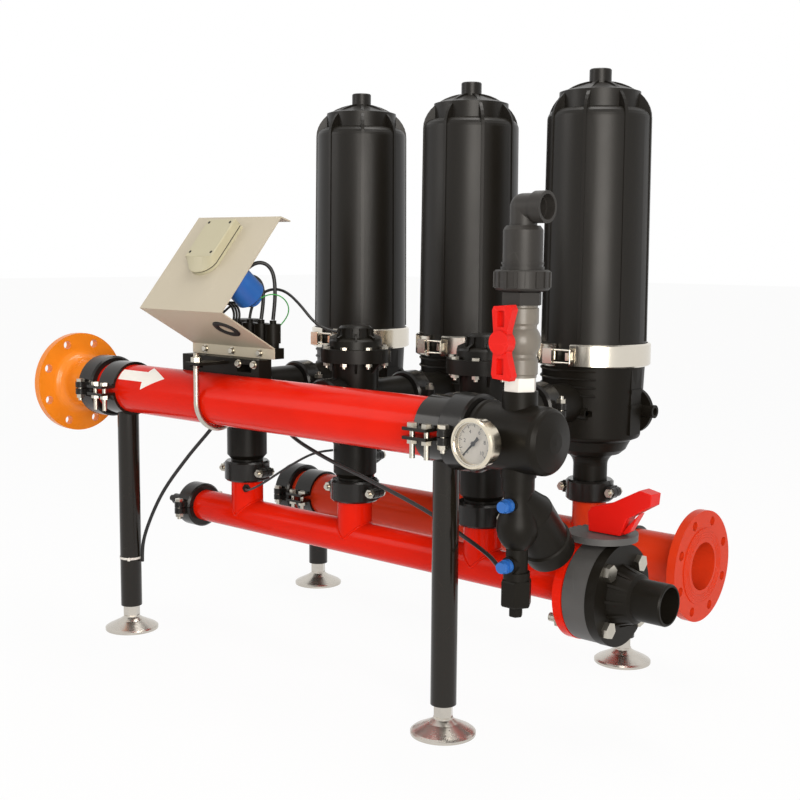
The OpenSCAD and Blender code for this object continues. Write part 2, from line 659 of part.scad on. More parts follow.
module filter_shell(k) color(black_plastic) station() unit(k) translate([0, outlet_y, 0]) {
    mid = shell_wall / 2;
    difference() {
        union() {
            rotate_extrude() polygon(concat([[0, rim_z], [rim_d / 2, rim_z], [rim_d / 2, rim_z + rim_h - 2],
                [rim_d / 2 - 2, rim_z + rim_h]], shell_outline(0)));
            translate([0, 0, apex_z - 12]) cylinder(d = nub_d, h = nub_h + 10);
            translate([0, 0, apex_z + nub_h - 2.1]) cylinder(d1 = nub_d, d2 = nub_d - 4, h = 2.1);
            around(rib_count, rib_phases[k - 1] - 90) rotate([90, 0, 0]) translate([0, 0, -rib_t / 2])
                linear_extrude(rib_t) polygon(concat([[shell_d / 2 - mid, rim_z + clamp_h / 2 + 4],
                    [shell_d / 2 + rib_proud, rim_z + clamp_h / 2 + 4]],
                    arc(0, shoulder_z, shoulder_d / 2 + rib_proud, dome_h - 1, 0, 80, 10),
                    [[nub_d / 2 - 8, apex_z - 1], [nub_d / 2 - 8, apex_z - 9], [step_d / 2 - mid, shoulder_z + 52],
                    [step_d / 2 - mid, shoulder_z + 16], [shoulder_d / 2 - mid - 4, shoulder_z]]));
        }
        rotate_extrude() polygon(concat([[0, rim_z - 1], [shell_d / 2 - shell_wall, rim_z - 1]], shell_outline(shell_wall)));
    }
}

// Band clamp with its two latch lugs at the front
latch_reach = clamp_od / 2 + 12;
pin_x = -24;
catch_x = 20;
knuckle_d = 12;
latch_pin_d = 6;
bail_d = 4;

module band_clamps() color(steel) station() each_unit() translate([0, outlet_y, rim_z]) {
    half = clamp_h / 2;
    outer = clamp_od / 2;
    wall = 2.5;
    grip = rim_h + slip;
    bore = shell_d / 2 + rib_proud + slip;
    difference() {
        union() {
            rotate_extrude() polygon([[bore, -half], [outer - 4, -half], [outer, 3 - half], [outer, half - 3], [outer - 4, half],
                [bore, half], [bore, grip], [outer - wall, grip], [outer - wall, -grip], [bore, -grip]]);
            translate([pin_x, -latch_reach, -9]) cylinder(d = knuckle_d, h = 18);
            translate([pin_x - 5, -latch_reach, -9]) cube([10, 17, 18]);
            translate([catch_x, -latch_reach - 4, -8]) cube([6, 20, 16]);
        }
        translate([pin_x + 8, -outer - 20, -half - 1]) cube([catch_x - pin_x - 10, 30, clamp_h + 2]);
        translate([pin_x, -latch_reach, -half]) cylinder(d = latch_pin_d + 2 * slip, h = clamp_h);
    }
}

// Over-centre plate with its pin and a wire bail that reaches round the catch
module clamp_latch(k) color(steel) station() unit(k) translate([0, outlet_y, rim_z]) {
    hand = 9 + 2 * slip;
    bail_x = catch_x + 6 + bail_d / 2 + 1;
    bail_z = 13;
    translate([pin_x, -latch_reach, 0]) {
        translate([0, 0, -hand - 6]) cylinder(d = latch_pin_d, h = 2 * hand + 12);
        for (s = [0, 1]) mirror([0, 0, s]) {
            translate([0, 0, hand]) cylinder(d = knuckle_d, h = 6);
            translate([-8, -10, hand]) cube([14, 6, 6]);
            translate([0, -2, bail_z]) rotate([0, 90, 0]) cylinder(d = bail_d, h = bail_x - pin_x);
        }
        translate([-8, -10, -hand - 6]) cube([22, 3, 2 * hand + 12]);
        translate([bail_x - pin_x, -2, -bail_z - bail_d / 2]) cylinder(d = bail_d, h = 2 * bail_z + bail_d);
    }
}

// Grooved rings stacked tight: one toothed profile turned round the core
module disc_stacks() color([0.75, 0.25, 0.05]) station() each_unit() translate([0, outlet_y, disc_seat_z]) {
    rings = 30;
    step = stack_h / rings;
    difference() {
        rotate_extrude() polygon(concat([[0, 0]], [for (i = [0 : rings - 1], e = [0 : 3])
            [disc_d / 2 - (e == 0 || e == 3 ? 1.5 : 0), step * (i + [0, 0.15, 0.85, 1][e])]], [[0, stack_h]]));
        translate([0, 0, -1]) cylinder(d = disc_bore, h = stack_h + 2);
    }
}

// Slotted spine that carries the discs and presses them down under its top plate
module disc_spines() color([0.2, 0.2, 0.2]) station() each_unit() translate([0, outlet_y, 0]) {
    top = disc_seat_z + stack_h;
    difference() {
        union() {
            translate([0, 0, rim_z]) cylinder(d = core_d, h = top + 30 - rim_z);
            translate([0, 0, rim_z + 12]) cylinder(d = disc_d, h = disc_seat_z - rim_z - 12);
            translate([0, 0, top]) cylinder(d1 = disc_d, d2 = disc_d - 20, h = 14);
        }
        translate([0, 0, rim_z - 1]) cylinder(d = branch_bore, h = top - rim_z);
        for (i = [0 : 4]) around(3) translate([0, 0, disc_seat_z + stack_h * (i + 0.15) / 5])
            translate([0, -6, 0]) cube([core_d, 12, stack_h * 0.7 / 5]);
    }
}

// Legs and feet
strap_bore = main_od + 2 * slip;
strap_ear = 36;
strap_gap = 10;
leg_bolt_pitch = 33;
leg_bolt_d = 10;

module strap_bolt_places() {
    for (sx = [-1, 1], sy = [-1, 1])
        translate([sx * leg_bolt_pitch / 2, sy * (strap_bore / 2 + strap_t + strap_ear / 2 - 4), 0]) children();
}

// Half of a pipe strap about X, below the pipe's axis
module half_strap() {
    reach = strap_bore / 2 + strap_t + strap_ear - 6;
    difference() {
        union() {
            translate([-leg_clamp_w / 2, 0, 0]) rotate([0, 90, 0]) cylinder(d = strap_bore + 2 * strap_t, h = leg_clamp_w);
            translate([-leg_clamp_w / 2, -reach, -strap_gap / 2 - strap_t]) cube([leg_clamp_w, 2 * reach, strap_t]);
        }
        translate([-leg_clamp_w, 0, 0]) rotate([0, 90, 0]) cylinder(d = strap_bore, h = 2 * leg_clamp_w);
        translate([-leg_clamp_w, -2 * reach, -strap_gap / 2]) cube([2 * leg_clamp_w, 4 * reach, strap_bore]);
        strap_bolt_places() translate([0, 0, -strap_bore / 2]) cylinder(d = leg_bolt_d + 2 * slip, h = strap_bore);
    }
}

module support_legs() color(black_iron) station() for (p = legs) difference() {
    top = p[2] - main_od / 2 - strap_t - leg_foot + 10;
    union() {
        translate(p) half_strap();
        translate([p[0], p[1], leg_foot]) cylinder(d = leg_od, h = top);
    }
    translate([p[0], p[1], leg_foot + 16]) cylinder(d = leg_od - 2 * leg_wall, h = top - 16 - 8);
    translate([p[0], p[1], leg_foot - 1]) cylinder(d = stem_d + 2 * slip, h = 20);
    translate([p[0] - leg_od, p[1], p[2]]) rotate([0, 90, 0]) cylinder(d = strap_bore, h = 2 * leg_od);
}

module leg_clamp_caps() color(black_iron) station() for (p = legs) translate(p) mirror([0, 0, 1]) half_strap();

module leg_clamp_bolts() color(zinc) station() for (p = legs) translate(p) strap_bolt_places()
    translate([0, 0, -strap_gap / 2 - strap_t]) fastener(leg_bolt_d, strap_gap + 2 * strap_t, 24);

module foot(k) color(steel) station() translate([legs[k - 1][0], legs[k - 1][1], 0]) {
    nut_h = 24;
    pad_top = leg_foot - slip - nut_h;
    rotate_extrude() polygon([[0, 0], [pad_d / 2, 0], [pad_d / 2, 5], [pad_d / 2 - 4, 8], [stem_d + 8, pad_top - 10],
        [stem_d - 2, pad_top - 3], [stem_d - 2, pad_top], [0, pad_top]]);
    translate([0, 0, pad_top - 1]) cylinder(d = stem_d, h = nut_h + foot_travel + 30);
    translate([0, 0, pad_top - 0.5]) hex(1.6 * stem_d, nut_h + 0.5);
}

// End chamber and air stack
boss_d = 61;
gauge_boss_d = 42;
strainer_top = inlet_z - chamber_d / 2 - 8;
nipple_d = air_bore + 9;
nipple_hex_h = 23;
valve_foot = inlet_z + boss_top + nipple_hex_h;
ball_z = valve_foot + ball_valve_len / 2;
vent_z = valve_foot + ball_valve_len;
thread_len = 16;

module end_chamber() color(black_plastic) station() {
    end = chamber_len - 12;
    wall = 6;
    difference() {
        union() {
            along_x(inlet_right, 0, inlet_z) rotate_extrude() polygon(concat([[0, joint_gap / 2], [main_od / 2, joint_gap / 2],
                [main_od / 2, groove_end(main_groove_in) + 5], [chamber_d / 2 + 3, groove_end(main_groove_in) + 9],
                [chamber_d / 2 + 3, groove_end(main_groove_in) + 15], [chamber_d / 2, groove_end(main_groove_in) + 18]],
                arc(chamber_d / 2 - 18, end - 10, 18, 18, 0, 55, 4), [[18, chamber_len - 1], [0, chamber_len]]));
            translate([stack_x, 0, inlet_z]) cylinder(d = boss_d, h = boss_top);
            along_y(gauge_x, 0, inlet_z) mirror([0, 0, 1]) cylinder(d = gauge_boss_d, h = chamber_d / 2 + 8);
            translate([stack_x, 0, strainer_top]) cylinder(d = boss_d, h = chamber_d / 2);
        }
        along_x(inlet_right, 0, inlet_z) cylinder(d = main_bore, h = end - wall);
        along_x(inlet_right, 0, inlet_z) joint_groove(main_od, main_groove_in);
        translate([stack_x, 0, inlet_z]) cylinder(d = nipple_d + 2 * slip, h = boss_top + 1);
        along_y(gauge_x, 0, inlet_z) mirror([0, 0, 1]) cylinder(d = 14 + 2 * slip, h = chamber_d);
        translate([stack_x, 0, strainer_top - 1]) cylinder(d = strainer_tube_d + 2 * slip, h = chamber_d / 2);
    }
}

module air_nipple() color([0.92, 0.92, 0.9]) station() translate([stack_x, 0, inlet_z + boss_top]) difference() {
    union() {
        translate([0, 0, -thread_len]) cylinder(d = nipple_d, h = thread_len + nipple_hex_h + thread_len);
        hex(50, nipple_hex_h);
    }
    translate([0, 0, -thread_len - 1]) cylinder(d = air_bore, h = 2 * thread_len + nipple_hex_h + 2);
}

module ball_valve_body() color(pvc_grey) station() translate([stack_x, 0, ball_z]) difference() {
    half = ball_valve_len / 2;
    union() {
        for (s = [0, 1]) mirror([0, 0, s]) rotate_extrude() polygon([[0, 0], [26, 0], [26, half - 34], [socket_d / 2, half - 30],
            [socket_d / 2, half - 6], [socket_d / 2 - 2, half - 4], [socket_d / 2 - 2, half], [0, half]]);
        sphere(d = socket_d + 9);
        along_y(0, 0, 0) mirror([0, 0, 1]) cylinder(d = 26, h = socket_d / 2 + 14);
    }
    translate([0, 0, -half - 1]) cylinder(d = air_bore, h = ball_valve_len + 2);
    for (s = [0, 1]) mirror([0, 0, s]) translate([0, 0, half - thread_len - 1]) cylinder(d = nipple_d + 2 * slip, h = thread_len + 2);
    sphere(d = ball_d + 2 * slip);
    along_y(0, 0, 0) mirror([0, 0, 1]) cylinder(d = 14 + 2 * slip, h = socket_d);
}

module ball_valve_ball() color([0.8, 0.8, 0.78]) station() translate([stack_x, 0, ball_z]) difference() {
    union() {
        sphere(d = ball_d);
        along_y(0, 0, 0) mirror([0, 0, 1]) cylinder(d = 14, h = socket_d / 2 + 24);
    }
    translate([0, 0, -ball_d]) cylinder(d = air_bore, h = 2 * ball_d);
}

// Bow-tie handle: two flared wings on a hub
module ball_valve_handle() color(handle_red) station()
    translate([stack_x, -socket_d / 2 - 14 - slip, ball_z]) rotate([90, 0, 0]) difference() {
        union() {
            cylinder(d = 40, h = 20);
            for (s = [0, 1]) mirror([0, s, 0]) linear_extrude(16) polygon([[-13, 0], [13, 0], [14, 20],
                [24, handle_len / 2 - 8], [20, handle_len / 2], [-14, handle_len / 2 - 3], [-17, handle_len / 2 - 10], [-14, 20]]);
        }
        translate([0, 0, -1]) cylinder(d = 14 + 2 * skin, h = 11.4);
        for (s = [0, 1]) mirror([0, s, 0]) translate([-6, 26, 8]) cube([14, handle_len / 2 - 36, 9]);
    }

module air_vent() color(black_plastic) station() translate([stack_x, 0, vent_z]) difference() {
    bend = 161;
    union() {
        translate([0, 0, -thread_len]) cylinder(d = nipple_d, h = thread_len + 1);
        hex(62, 21);
        rotate_extrude() polygon([[0, 20], [26, 20], [vent_collar_d / 2 - 2, 25], [vent_collar_d / 2, 28], [vent_collar_d / 2, 56],
            [vent_collar_d / 2 - 2, 58], [vent_d / 2 + 3, 58], [vent_d / 2 + 3, 63], [vent_d / 2, 63], [vent_d / 2, 67],
            [vent_d / 2 + 2, 67], [vent_d / 2 + 2, 71], [vent_d / 2, 71], [vent_d / 2, 124], [vent_d / 2 - 5, 131], [0, 133]]);
        for (i = [0 : 15]) rotate([0, 0, 22.5 * i]) translate([vent_collar_d / 2 - 3, -3, 29]) cube([5, 6, 26]);
        translate([0, 0, 130]) cylinder(d = 46, h = bend - 130);
        translate([0, 0, bend]) sphere(d = 46);
        along_x(0, 0, bend) cylinder(d = 46, h = vent_reach - 18);
        along_x(vent_reach - 22, 0, bend) cylinder(d = 53, h = 22);
    }
    translate([0, 0, -thread_len - 1]) cylinder(d = air_bore - 4, h = thread_len + 24);
    translate([0, 0, 22]) cylinder(d = vent_d - 10, h = 100);
    translate([0, 0, 110]) cylinder(d = 36, h = bend - 110);
    translate([0, 0, bend]) sphere(d = 36);
    along_x(0, 0, bend) cylinder(d = 36, h = vent_reach + 1);
    along_x(vent_reach - 16, 0, bend) cylinder(d = 42, h = 20);
}

// Pressure gauge that looks along -Y
module gauge() { station() translate([gauge_x, gauge_face_y, inlet_z]) rotate([-90, 0, 0]) children(); }
lens_seat = 3;
dial_deep = 12;
pointer_deep = 7;

module gauge_case() color([0.8, 0.72, 0.55]) gauge() difference() {
    union() {
        rotate_extrude() polygon([[0, 2], [gauge_d / 2 - 2, 0], [gauge_d / 2, 3], [gauge_d / 2, 9], [gauge_d / 2 - 3, 11],
            [gauge_d / 2 - 3, gauge_depth - 4], [gauge_d / 2 - 7, gauge_depth], [0, gauge_depth]]);
        translate([0, 0, gauge_depth - 1]) hex(22, 11);
        translate([0, 0, gauge_depth + 9]) cylinder(d = 14, h = 24);
    }
    translate([0, 0, -1]) cylinder(d = gauge_d - 12, h = lens_seat + 1);
    translate([0, 0, -1]) cylinder(d = gauge_d - 16, h = lens_seat + 1 + 2);
    translate([0, 0, 1]) cylinder(d = gauge_d - 16, h = dial_deep - 1);
    translate([0, 0, 1]) cylinder(d = 4 + 2 * slip, h = dial_deep + 8);
}

module gauge_lens() color([0.9, 0.95, 1, 0.3]) gauge()
    translate([0, 0, lens_seat - 2 - skin]) cylinder(d = gauge_d - 12 - 2 * skin, h = 2);

module gauge_pointer() color([0.05, 0.05, 0.05]) gauge() rotate([0, 0, 135]) {
    translate([0, 0, pointer_deep]) linear_extrude(1.2)
        polygon([[-14, -3], [-9, -2.2], [30, -0.6], [30, 0.6], [-9, 2.2], [-14, 3]]);
    translate([0, 0, pointer_deep - 0.8]) cylinder(d = 8, h = 2);
    translate([0, 0, pointer_deep]) cylinder(d = 4, h = dial_deep + 4 - pointer_deep);
}

// Y strainer on the chamber's underside
branch_drop = 34;
slant = 48;
strainer_foot = strainer_top - strainer_tube_len;

module strainer_slant() { translate([stack_x, 0, strainer_top - branch_drop]) rotate([-90 - slant, 0, 0]) children(); }

module strainer_body() color(black_plastic) station() difference() {
    union() {
        translate([stack_x, 0, strainer_foot]) cylinder(d = strainer_tube_d, h = strainer_tube_len + 14);
        translate([stack_x, 0, strainer_top - 24]) cylinder(d = boss_d - 5, h = 24 - skin);
        translate([stack_x, 0, strainer_foot]) cylinder(d = strainer_tube_d + 8, h = 14);
        strainer_slant() cylinder(d1 = boss_d - 10, d2 = barrel_d, h = 46);
        strainer_slant() translate([0, 0, 45]) cylinder(d = barrel_d, h = barrel_len - 45 - 40);
        for (z = [strainer_top - 46, strainer_top - 150])
            along_y(stack_x, -strainer_tube_d / 2 - 6, z) cylinder(d = 30, h = 20);
    }
    translate([stack_x, 0, strainer_foot + 20]) cylinder(d = strainer_tube_d - 12, h = strainer_tube_len);
    translate([stack_x, 0, strainer_foot - 1]) cylinder(d = 20 + 2 * slip, h = 22);
    strainer_slant() translate([0, 0, 50]) cylinder(d = barrel_d - 12, h = barrel_len);
    for (z = [strainer_top - 46, strainer_top - 150])
        along_y(stack_x, -strainer_tube_d, z) cylinder(d = 12 + 2 * slip, h = strainer_tube_d);
}

module strainer_caps() color(black_plastic) station() {
    strainer_slant() translate([0, 0, barrel_len - 40 + skin / 2]) difference() {
        union() {
            translate([0, 0, -12]) cylinder(d = barrel_d - 12 - 2 * slip, h = 14);
            cylinder(d = barrel_d + 7, h = 26);
            translate([0, 0, 25.9]) cylinder(d1 = barrel_d + 2, d2 = barrel_d - 20, h = 8);
            around(16) translate([barrel_d / 2 + 2, -3.5, 2]) cube([5, 7, 22]);
        }
        translate([0, 0, -13]) cylinder(d = barrel_d - 24, h = 30);
    }
    translate([stack_x, 0, strainer_foot - 18 - skin / 2]) hex(40, 18);
    translate([stack_x, 0, strainer_foot - 1 - skin / 2]) cylinder(d = 20, h = 18);
    translate([stack_x, 0, strainer_foot - 44]) cylinder(d1 = 18, d2 = 28, h = 27);
}

module push_in_plugs() color([0.05, 0.3, 0.75]) station()
    for (z = [strainer_top - 46, strainer_top - 150]) along_y(stack_x, -strainer_tube_d / 2 - 6 - skin, z) {
        mirror([0, 0, 1]) cylinder(d = 24, h = 9);
        mirror([0, 0, 1]) translate([0, 0, 8]) cylinder(d = 17, h = 9);
        mirror([0, 0, 1]) translate([0, 0, 16]) cylinder(d1 = 22, d2 = 19, h = 6);
        cylinder(d = 12, h = 10);
    }

// Butterfly valve on the drain
wafer_d = drain_flange_od - 2;
wafer_stem_d = 14;
plate_z = drain_z + wafer_d / 2 + 6;
plate_t = 12;

module at_wafer() { station() translate([wafer_x, drain_y, 0]) children(); }
module drain_bolt_places() {
    around(4, 45) translate([drain_pcd / 2, 0, 0]) children();
}

module drain_valve_body() color(pvc_grey) at_wafer() difference() {
    union() {
        along_x(skin - wafer_t / 2, 0, drain_z) cylinder(d = wafer_d, h = wafer_t - 2 * skin);
        translate([0, 0, drain_z]) cylinder(d = wafer_t - 6, h = plate_z - drain_z + 1);
        translate([0, 0, plate_z]) cylinder(d = top_plate_d, h = plate_t);
        translate([0, 0, plate_z - 4.5]) cylinder(d1 = 84, d2 = top_plate_d - 8, h = 4.6);
    }
    along_x(-wafer_t, 0, drain_z) cylinder(d = wafer_bore, h = 2 * wafer_t);
    translate([0, 0, drain_z - wafer_bore / 2 - 12]) cylinder(d = wafer_stem_d + 2 * slip, h = plate_z + plate_t - drain_z + wafer_bore);
    along_x(-wafer_t, 0, drain_z) drain_bolt_places() cylinder(d = drain_bolt_d + 2, h = 2 * wafer_t);
    // Notches of the lever's lock round the rear rim of the plate
    translate([0, 0, plate_z + 4]) for (a = [100 : 12 : 190]) rotate([0, 0, a])
        translate([top_plate_d / 2 - 5, -3, 0]) cube([8, 6, plate_t]);
}

module drain_valve_disc() color([0.25, 0.25, 0.26]) at_wafer() {
    along_y(0, -4, drain_z) cylinder(d = wafer_bore - 4 * slip, h = 8);
    translate([0, 0, drain_z - wafer_bore / 2 - 10]) cylinder(d = wafer_stem_d, h = wafer_bore + plate_z + plate_t - drain_z - wafer_bore / 2 + 28);
}

// Lever that lies along the pipe when open, with a squeeze trigger moulded under its grip
module drain_valve_lever() color(handle_red) at_wafer() translate([0, 0, plate_z + plate_t + slip]) difference() {
    union() {
        cylinder(d = 44, h = 24);
        translate([0, 15, 0]) rotate([90, 0, 0]) linear_extrude(30) polygon([[-16, 8], [-18, 22], [2, 34],
            [lever_reach - 18, lever_rise], [lever_reach, lever_rise - 2], [lever_reach - 2, lever_rise - 22], [38, 20], [20, 8]]);
        translate([0, 9, 0]) rotate([90, 0, 0]) linear_extrude(18) polygon([[20, 2], [34, 4], [lever_reach - 24, lever_rise - 42],
            [lever_reach - 22, lever_rise - 34], [36, 21], [18, 12]]);
    }
    translate([0, 0, -1]) cylinder(d = wafer_stem_d + 2 * skin, h = 25);
    translate([lever_reach - 50, -8, 4]) cube([24, 16, lever_rise]);
}

module drain_tail() color(black_plastic) station() along_x(tail_flange_x, drain_y, drain_z) difference() {
    union() {
        cylinder(d = drain_flange_od, h = drain_flange_t);
        rotate_extrude() polygon([[0, drain_flange_t - 1], [drain_pcd / 2 - 18, drain_flange_t - 1], [drain_pcd / 2 - 20, drain_flange_t + 6],
            [tail_d / 2 + 7, drain_flange_t + 34], [tail_d / 2, drain_flange_t + 38], [tail_d / 2, drain_flange_t + tail_len - 3],
            [tail_d / 2 - 2, drain_flange_t + tail_len], [0, drain_flange_t + tail_len]]);
        gussets(12, 0, tail_d / 2 + 9, drain_pcd / 2 - 14, drain_flange_t - 0.5, 32);
    }
    translate([0, 0, -1]) cylinder(d = branch_bore, h = drain_flange_t + tail_len + 2);
    drain_bolt_places() translate([0, 0, -1]) cylinder(d = drain_bolt_d + 2, h = drain_flange_t + 2);
}

module drain_valve_bolts() color(zinc) station() along_x(drain_right - drain_flange_t, drain_y, drain_z) drain_bolt_places()
    fastener(drain_bolt_d, 2 * drain_flange_t + wafer_t, 14);

// Controller: folded cover, box, bracket and pilots
fold_y = -98;
fold_z = 751;
cover_top = [62, 940];
cover_foot = [42, 672];
lip_len = 26;
foot_len = 22;

// A folded sheet whose section is a line of points in Y and Z, thickened to both sides with mitred folds
function left_of(v) = [-v[1], v[0]] / norm(v);
function fold_point(p, i, half) = let (last = len(p) - 1, j = min(i, last - 1), k = max(i - 1, 0),
    s = left_of(p[j + 1] - p[j]) + left_of(p[k + 1] - p[k])) p[i] + s * 2 * half / (s * s);

module folded_sheet(points, t, w) {
    last = len(points) - 1;
    rotate([90, 0, 90]) linear_extrude(w) polygon(concat([for (i = [0 : last]) fold_point(points, i, t / 2)],
        [for (i = [0 : last]) fold_point(points, last - i, -t / 2)]));
}

panel_tilt = atan2(cover_top[1] - fold_z, cover_top[0] - fold_y);
foot_z = cover_foot[1] - foot_len;
saddle_top = inlet_z + main_od / 2;

module controller_cover() color([0.86, 0.82, 0.72]) station() translate([-cover_left - cover_w / 2, 0, 0]) difference() {
    folded_sheet([cover_top + [lip_len, -8], cover_top, [fold_y, fold_z], cover_foot, [cover_foot[0], foot_z]], cover_t, cover_w);
    for (i = [0 : 2]) translate([cover_w * (i + 0.5) / 3, cover_foot[0] - 10, foot_z + 11]) rotate([-90, 0, 0]) cylinder(d = 9, h = 20);
}

// The box lies on the slanting panel
module on_panel() {
    translate([-cover_left, fold_y, fold_z]) rotate([panel_tilt, 0, 0]) translate([0, 0, cover_t / 2 + skin / 2]) children();
}

module controller_box() color([0.93, 0.92, 0.86]) station() on_panel() translate([0, 108, 0]) {
    chin = 24;
    difference() {
        translate([-box_w / 2, 0, 0]) rotate([90, 0, 90]) linear_extrude(box_w)
            polygon(concat([[6, 0], [box_h, 0], [box_h, box_d - 4], [box_h - 4, box_d]], arc(chin, box_d - chin, chin, chin, 90, 180, 6), [[0, 4]]));
        for (s = [-1, 1]) translate([s * box_w / 2 - 2, 12, box_d - 14]) cube([4, box_h, 4]);
        translate([-box_w / 2 - 1, -1, box_d / 3]) cube([box_w + 2, 3, 2]);
    }
}

module controller_bracket() color(black_plastic) station() translate([-cover_left, 0, 0]) difference() {
    y0 = 6;
    deep = cover_foot[0] - cover_t / 2 - y0 - skin;
    reach = u_bolt_r + u_bolt_d;
    union() {
        translate([-cover_w / 2 + 8, y0, saddle_top - 12]) cube([cover_w - 16, deep, cover_foot[1] - 10 - saddle_top]);
        translate([u_bolt_x - 22, -reach, saddle_top + 22]) cube([44, reach + y0 + 1, 6]);
        translate([u_bolt_x - 22, y0 + deep - 1, saddle_top + 2]) cube([44, reach - y0 - deep + 1, 6]);
    }
    translate([-cover_w, 0, inlet_z]) rotate([0, 90, 0]) cylinder(d = main_od + skin, h = 2 * cover_w);
    for (s = [-1, 1]) translate([s * cover_w / 3.4 - 22, y0 - 1, saddle_top + 8]) cube([44, deep - 6, 16]);
    for (s = [-1, 1]) translate([u_bolt_x, s * u_bolt_r, inlet_z]) cylinder(d = u_bolt_d + 2 * slip, h = main_od);
}

u_bolt_x = 4;
u_bolt_r = main_od / 2 + u_bolt_d / 2 + skin;
thread_d = u_bolt_d - 0.5;
module u_bolt() color(zinc) station() translate([-cover_left + u_bolt_x, 0, inlet_z]) {
    difference() {
        rotate([0, 90, 0]) rotate_extrude() translate([u_bolt_r, 0]) circle(d = u_bolt_d);
        translate([-u_bolt_d, -main_od, 0]) cube([2 * u_bolt_d, 2 * main_od, main_od]);
    }
    for (s = [-1, 1]) translate([0, s * u_bolt_r, -4]) cylinder(d = thread_d, h = main_od / 2 + 48);
    translate([0, -u_bolt_r, main_od / 2 + 28 + skin]) hex(19, 10);
    translate([0, u_bolt_r, main_od / 2 + 8 + skin]) hex(19, 10);
}

// Pilot solenoids stand on a block behind the cover's foot, one for each valve
pilot_pitch = 36;
pilot_x = [for (i = [0 : 2]) cover_w / 2 - 21 - pilot_pitch * (2 - i)];
pilot_y = cover_foot[0] + cover_t / 2 + skin + 14;
module pilot_solenoids() color(black_plastic) station() translate([-cover_left, pilot_y, foot_z]) {
    translate([pilot_x[0] - 18, -14, 0]) cube([2 * pilot_pitch + 36, 28, 22]);
    for (x = pilot_x) translate([x, 0, 21]) {
        cylinder(d = 24, h = 12);
        translate([0, 0, 11]) cylinder(d = 32, h = 40);
        translate([0, 0, 50]) cylinder(d = 14, h = 8);
    }
}

// Latching coil that hangs on the back of the cover's panel
coil_d = 65;
coil_len = 78;
module latching_coil() color([0.05, 0.2, 0.6]) station() translate([cover_w / 2 - cover_left - coil_d / 2, fold_y, fold_z])
    rotate([panel_tilt, 0, 0]) translate([0, 90, -cover_t / 2 - skin]) mirror([0, 0, 1]) {
        cylinder(d = coil_d, h = coil_len - 20);
        translate([0, 0, coil_len - 20.1]) cylinder(d1 = coil_d, d2 = coil_d - 12, h = 6);
        translate([0, 0, coil_len - 15]) cylinder(d = 28, h = 15);
    }

// Control tubes, swept along points chosen by hand
tube_od = 8;
thin_tube_od = 5;
tube_routes = [
    [[542.9, 8, 322], [519.9, 16.4, 322], [470, 46, 334], [400, 56, 358], [300, 62, 392], [160, 66, 428], [20, 68, 462], [-80, 72, 500],
        [-130, 84, 560], [-146, 84, 612], [-150, 64, 632], [-150, 41.2, 634]],
    [[-270, 41.2, 630], [-272, 64, 626], [-282, 82, 590], [-292, 84, 545], [-312, 76, 495], [-384, 52, 410], [-450, 30, 320], [-494, 14, 220], [-501, 12, 160]],
    [[-106, 57.5, 729.9], [-104, 62, 786], [-112, 60, 836], [-132, 40, 850], [-152, 16, 826], [-168, 2, 800], [-170, -20, 803],
        [-170, -38.7, 818.4]],
    [[-142, 57.5, 729.9], [-144, 66, 780], [-154, 62, 816], [-184, 34, 818], [-206, 10, 790], [-210, -16, 780], [-210, -47.7, 807.7]],
];
thin_routes = [
    [[-30.6, 158, 455], [-60, 128, 448], [-120, 112, 414], [-190, 108, 372], [-250, 120, 346], [-300, 150, 336], [-315.4, 166.4, 335]],
];

function unit_vec(v) = v / norm(v);
function spline_point(p, i, t) = let (n = len(p) - 1, a = p[max(i - 1, 0)], b = p[i], c = p[i + 1], d = p[min(i + 2, n)])
    0.5 * ((2 * b) + (c - a) * t + (2 * a - 5 * b + 4 * c - d) * t * t + (3 * b - a - 3 * c + d) * t * t * t);
function spline(p, steps) = concat([for (i = [0 : len(p) - 2], s = [0 : steps - 1]) spline_point(p, i, s / steps)], [p[len(p) - 1]]);
function ring_points(path, i, d, sides) = let (n = len(path) - 1, t = unit_vec(path[min(i + 1, n)] - path[max(i - 1, 0)]),
    side = unit_vec(cross(t, [0.1, 1, 0.2])), up = cross(side, t))
    [for (k = [0 : sides - 1]) path[i] + d / 2 * (cos(360 * k / sides) * side + sin(360 * k / sides) * up)];

module swept_tube(route, d, sides, steps) {
    path = spline(route, steps);
    n = len(path);
    points = [for (i = [0 : n - 1]) each ring_points(path, i, d, sides)];
    walls = [for (i = [0 : n - 2], k = [0 : sides - 1]) let (a = i * sides + k, b = i * sides + (k + 1) % sides) [a, b, b + sides, a + sides]];
    foot = [for (k = [0 : sides - 1]) sides - 1 - k];
    head = [for (k = [0 : sides - 1]) (n - 1) * sides + k];
    polyhedron(points, concat([foot], walls, [head]), convexity = 6);
}

module control_tubes() color([0.03, 0.03, 0.03]) station() {
    for (r = tube_routes) swept_tube(r, tube_od, 8, 2);
    for (r = thin_routes) swept_tube(r, thin_tube_od, 8, 2);
}

inlet_manifold();
inlet_flange();
outlet_manifold();
outlet_end_cap();
drain_manifold();
drain_end_cap();
main_couplings();
branch_couplings();
rubber_seals();
coupling_bolts();
valve_bodies();
valve_drain_bodies();
valve_bonnets();
valve_plunger(1);  // valve_plunger_1
valve_plunger(2);  // valve_plunger_2
valve_plunger(3);  // valve_plunger_3
valve_flange_bolts();
filter_base(1);  // filter_base_1
filter_base(2);  // filter_base_2
filter_base(3);  // filter_base_3
filter_shell(1);  // filter_shell_1
filter_shell(2);  // filter_shell_2
filter_shell(3);  // filter_shell_3
band_clamps();
clamp_latch(1);  // clamp_latch_1
clamp_latch(2);  // clamp_latch_2
clamp_latch(3);  // clamp_latch_3
disc_stacks();
disc_spines();
support_legs();
leg_clamp_caps();
leg_clamp_bolts();
foot(1);  // foot_1
foot(2);  // foot_2
foot(3);  // foot_3
foot(4);  // foot_4
end_chamber();
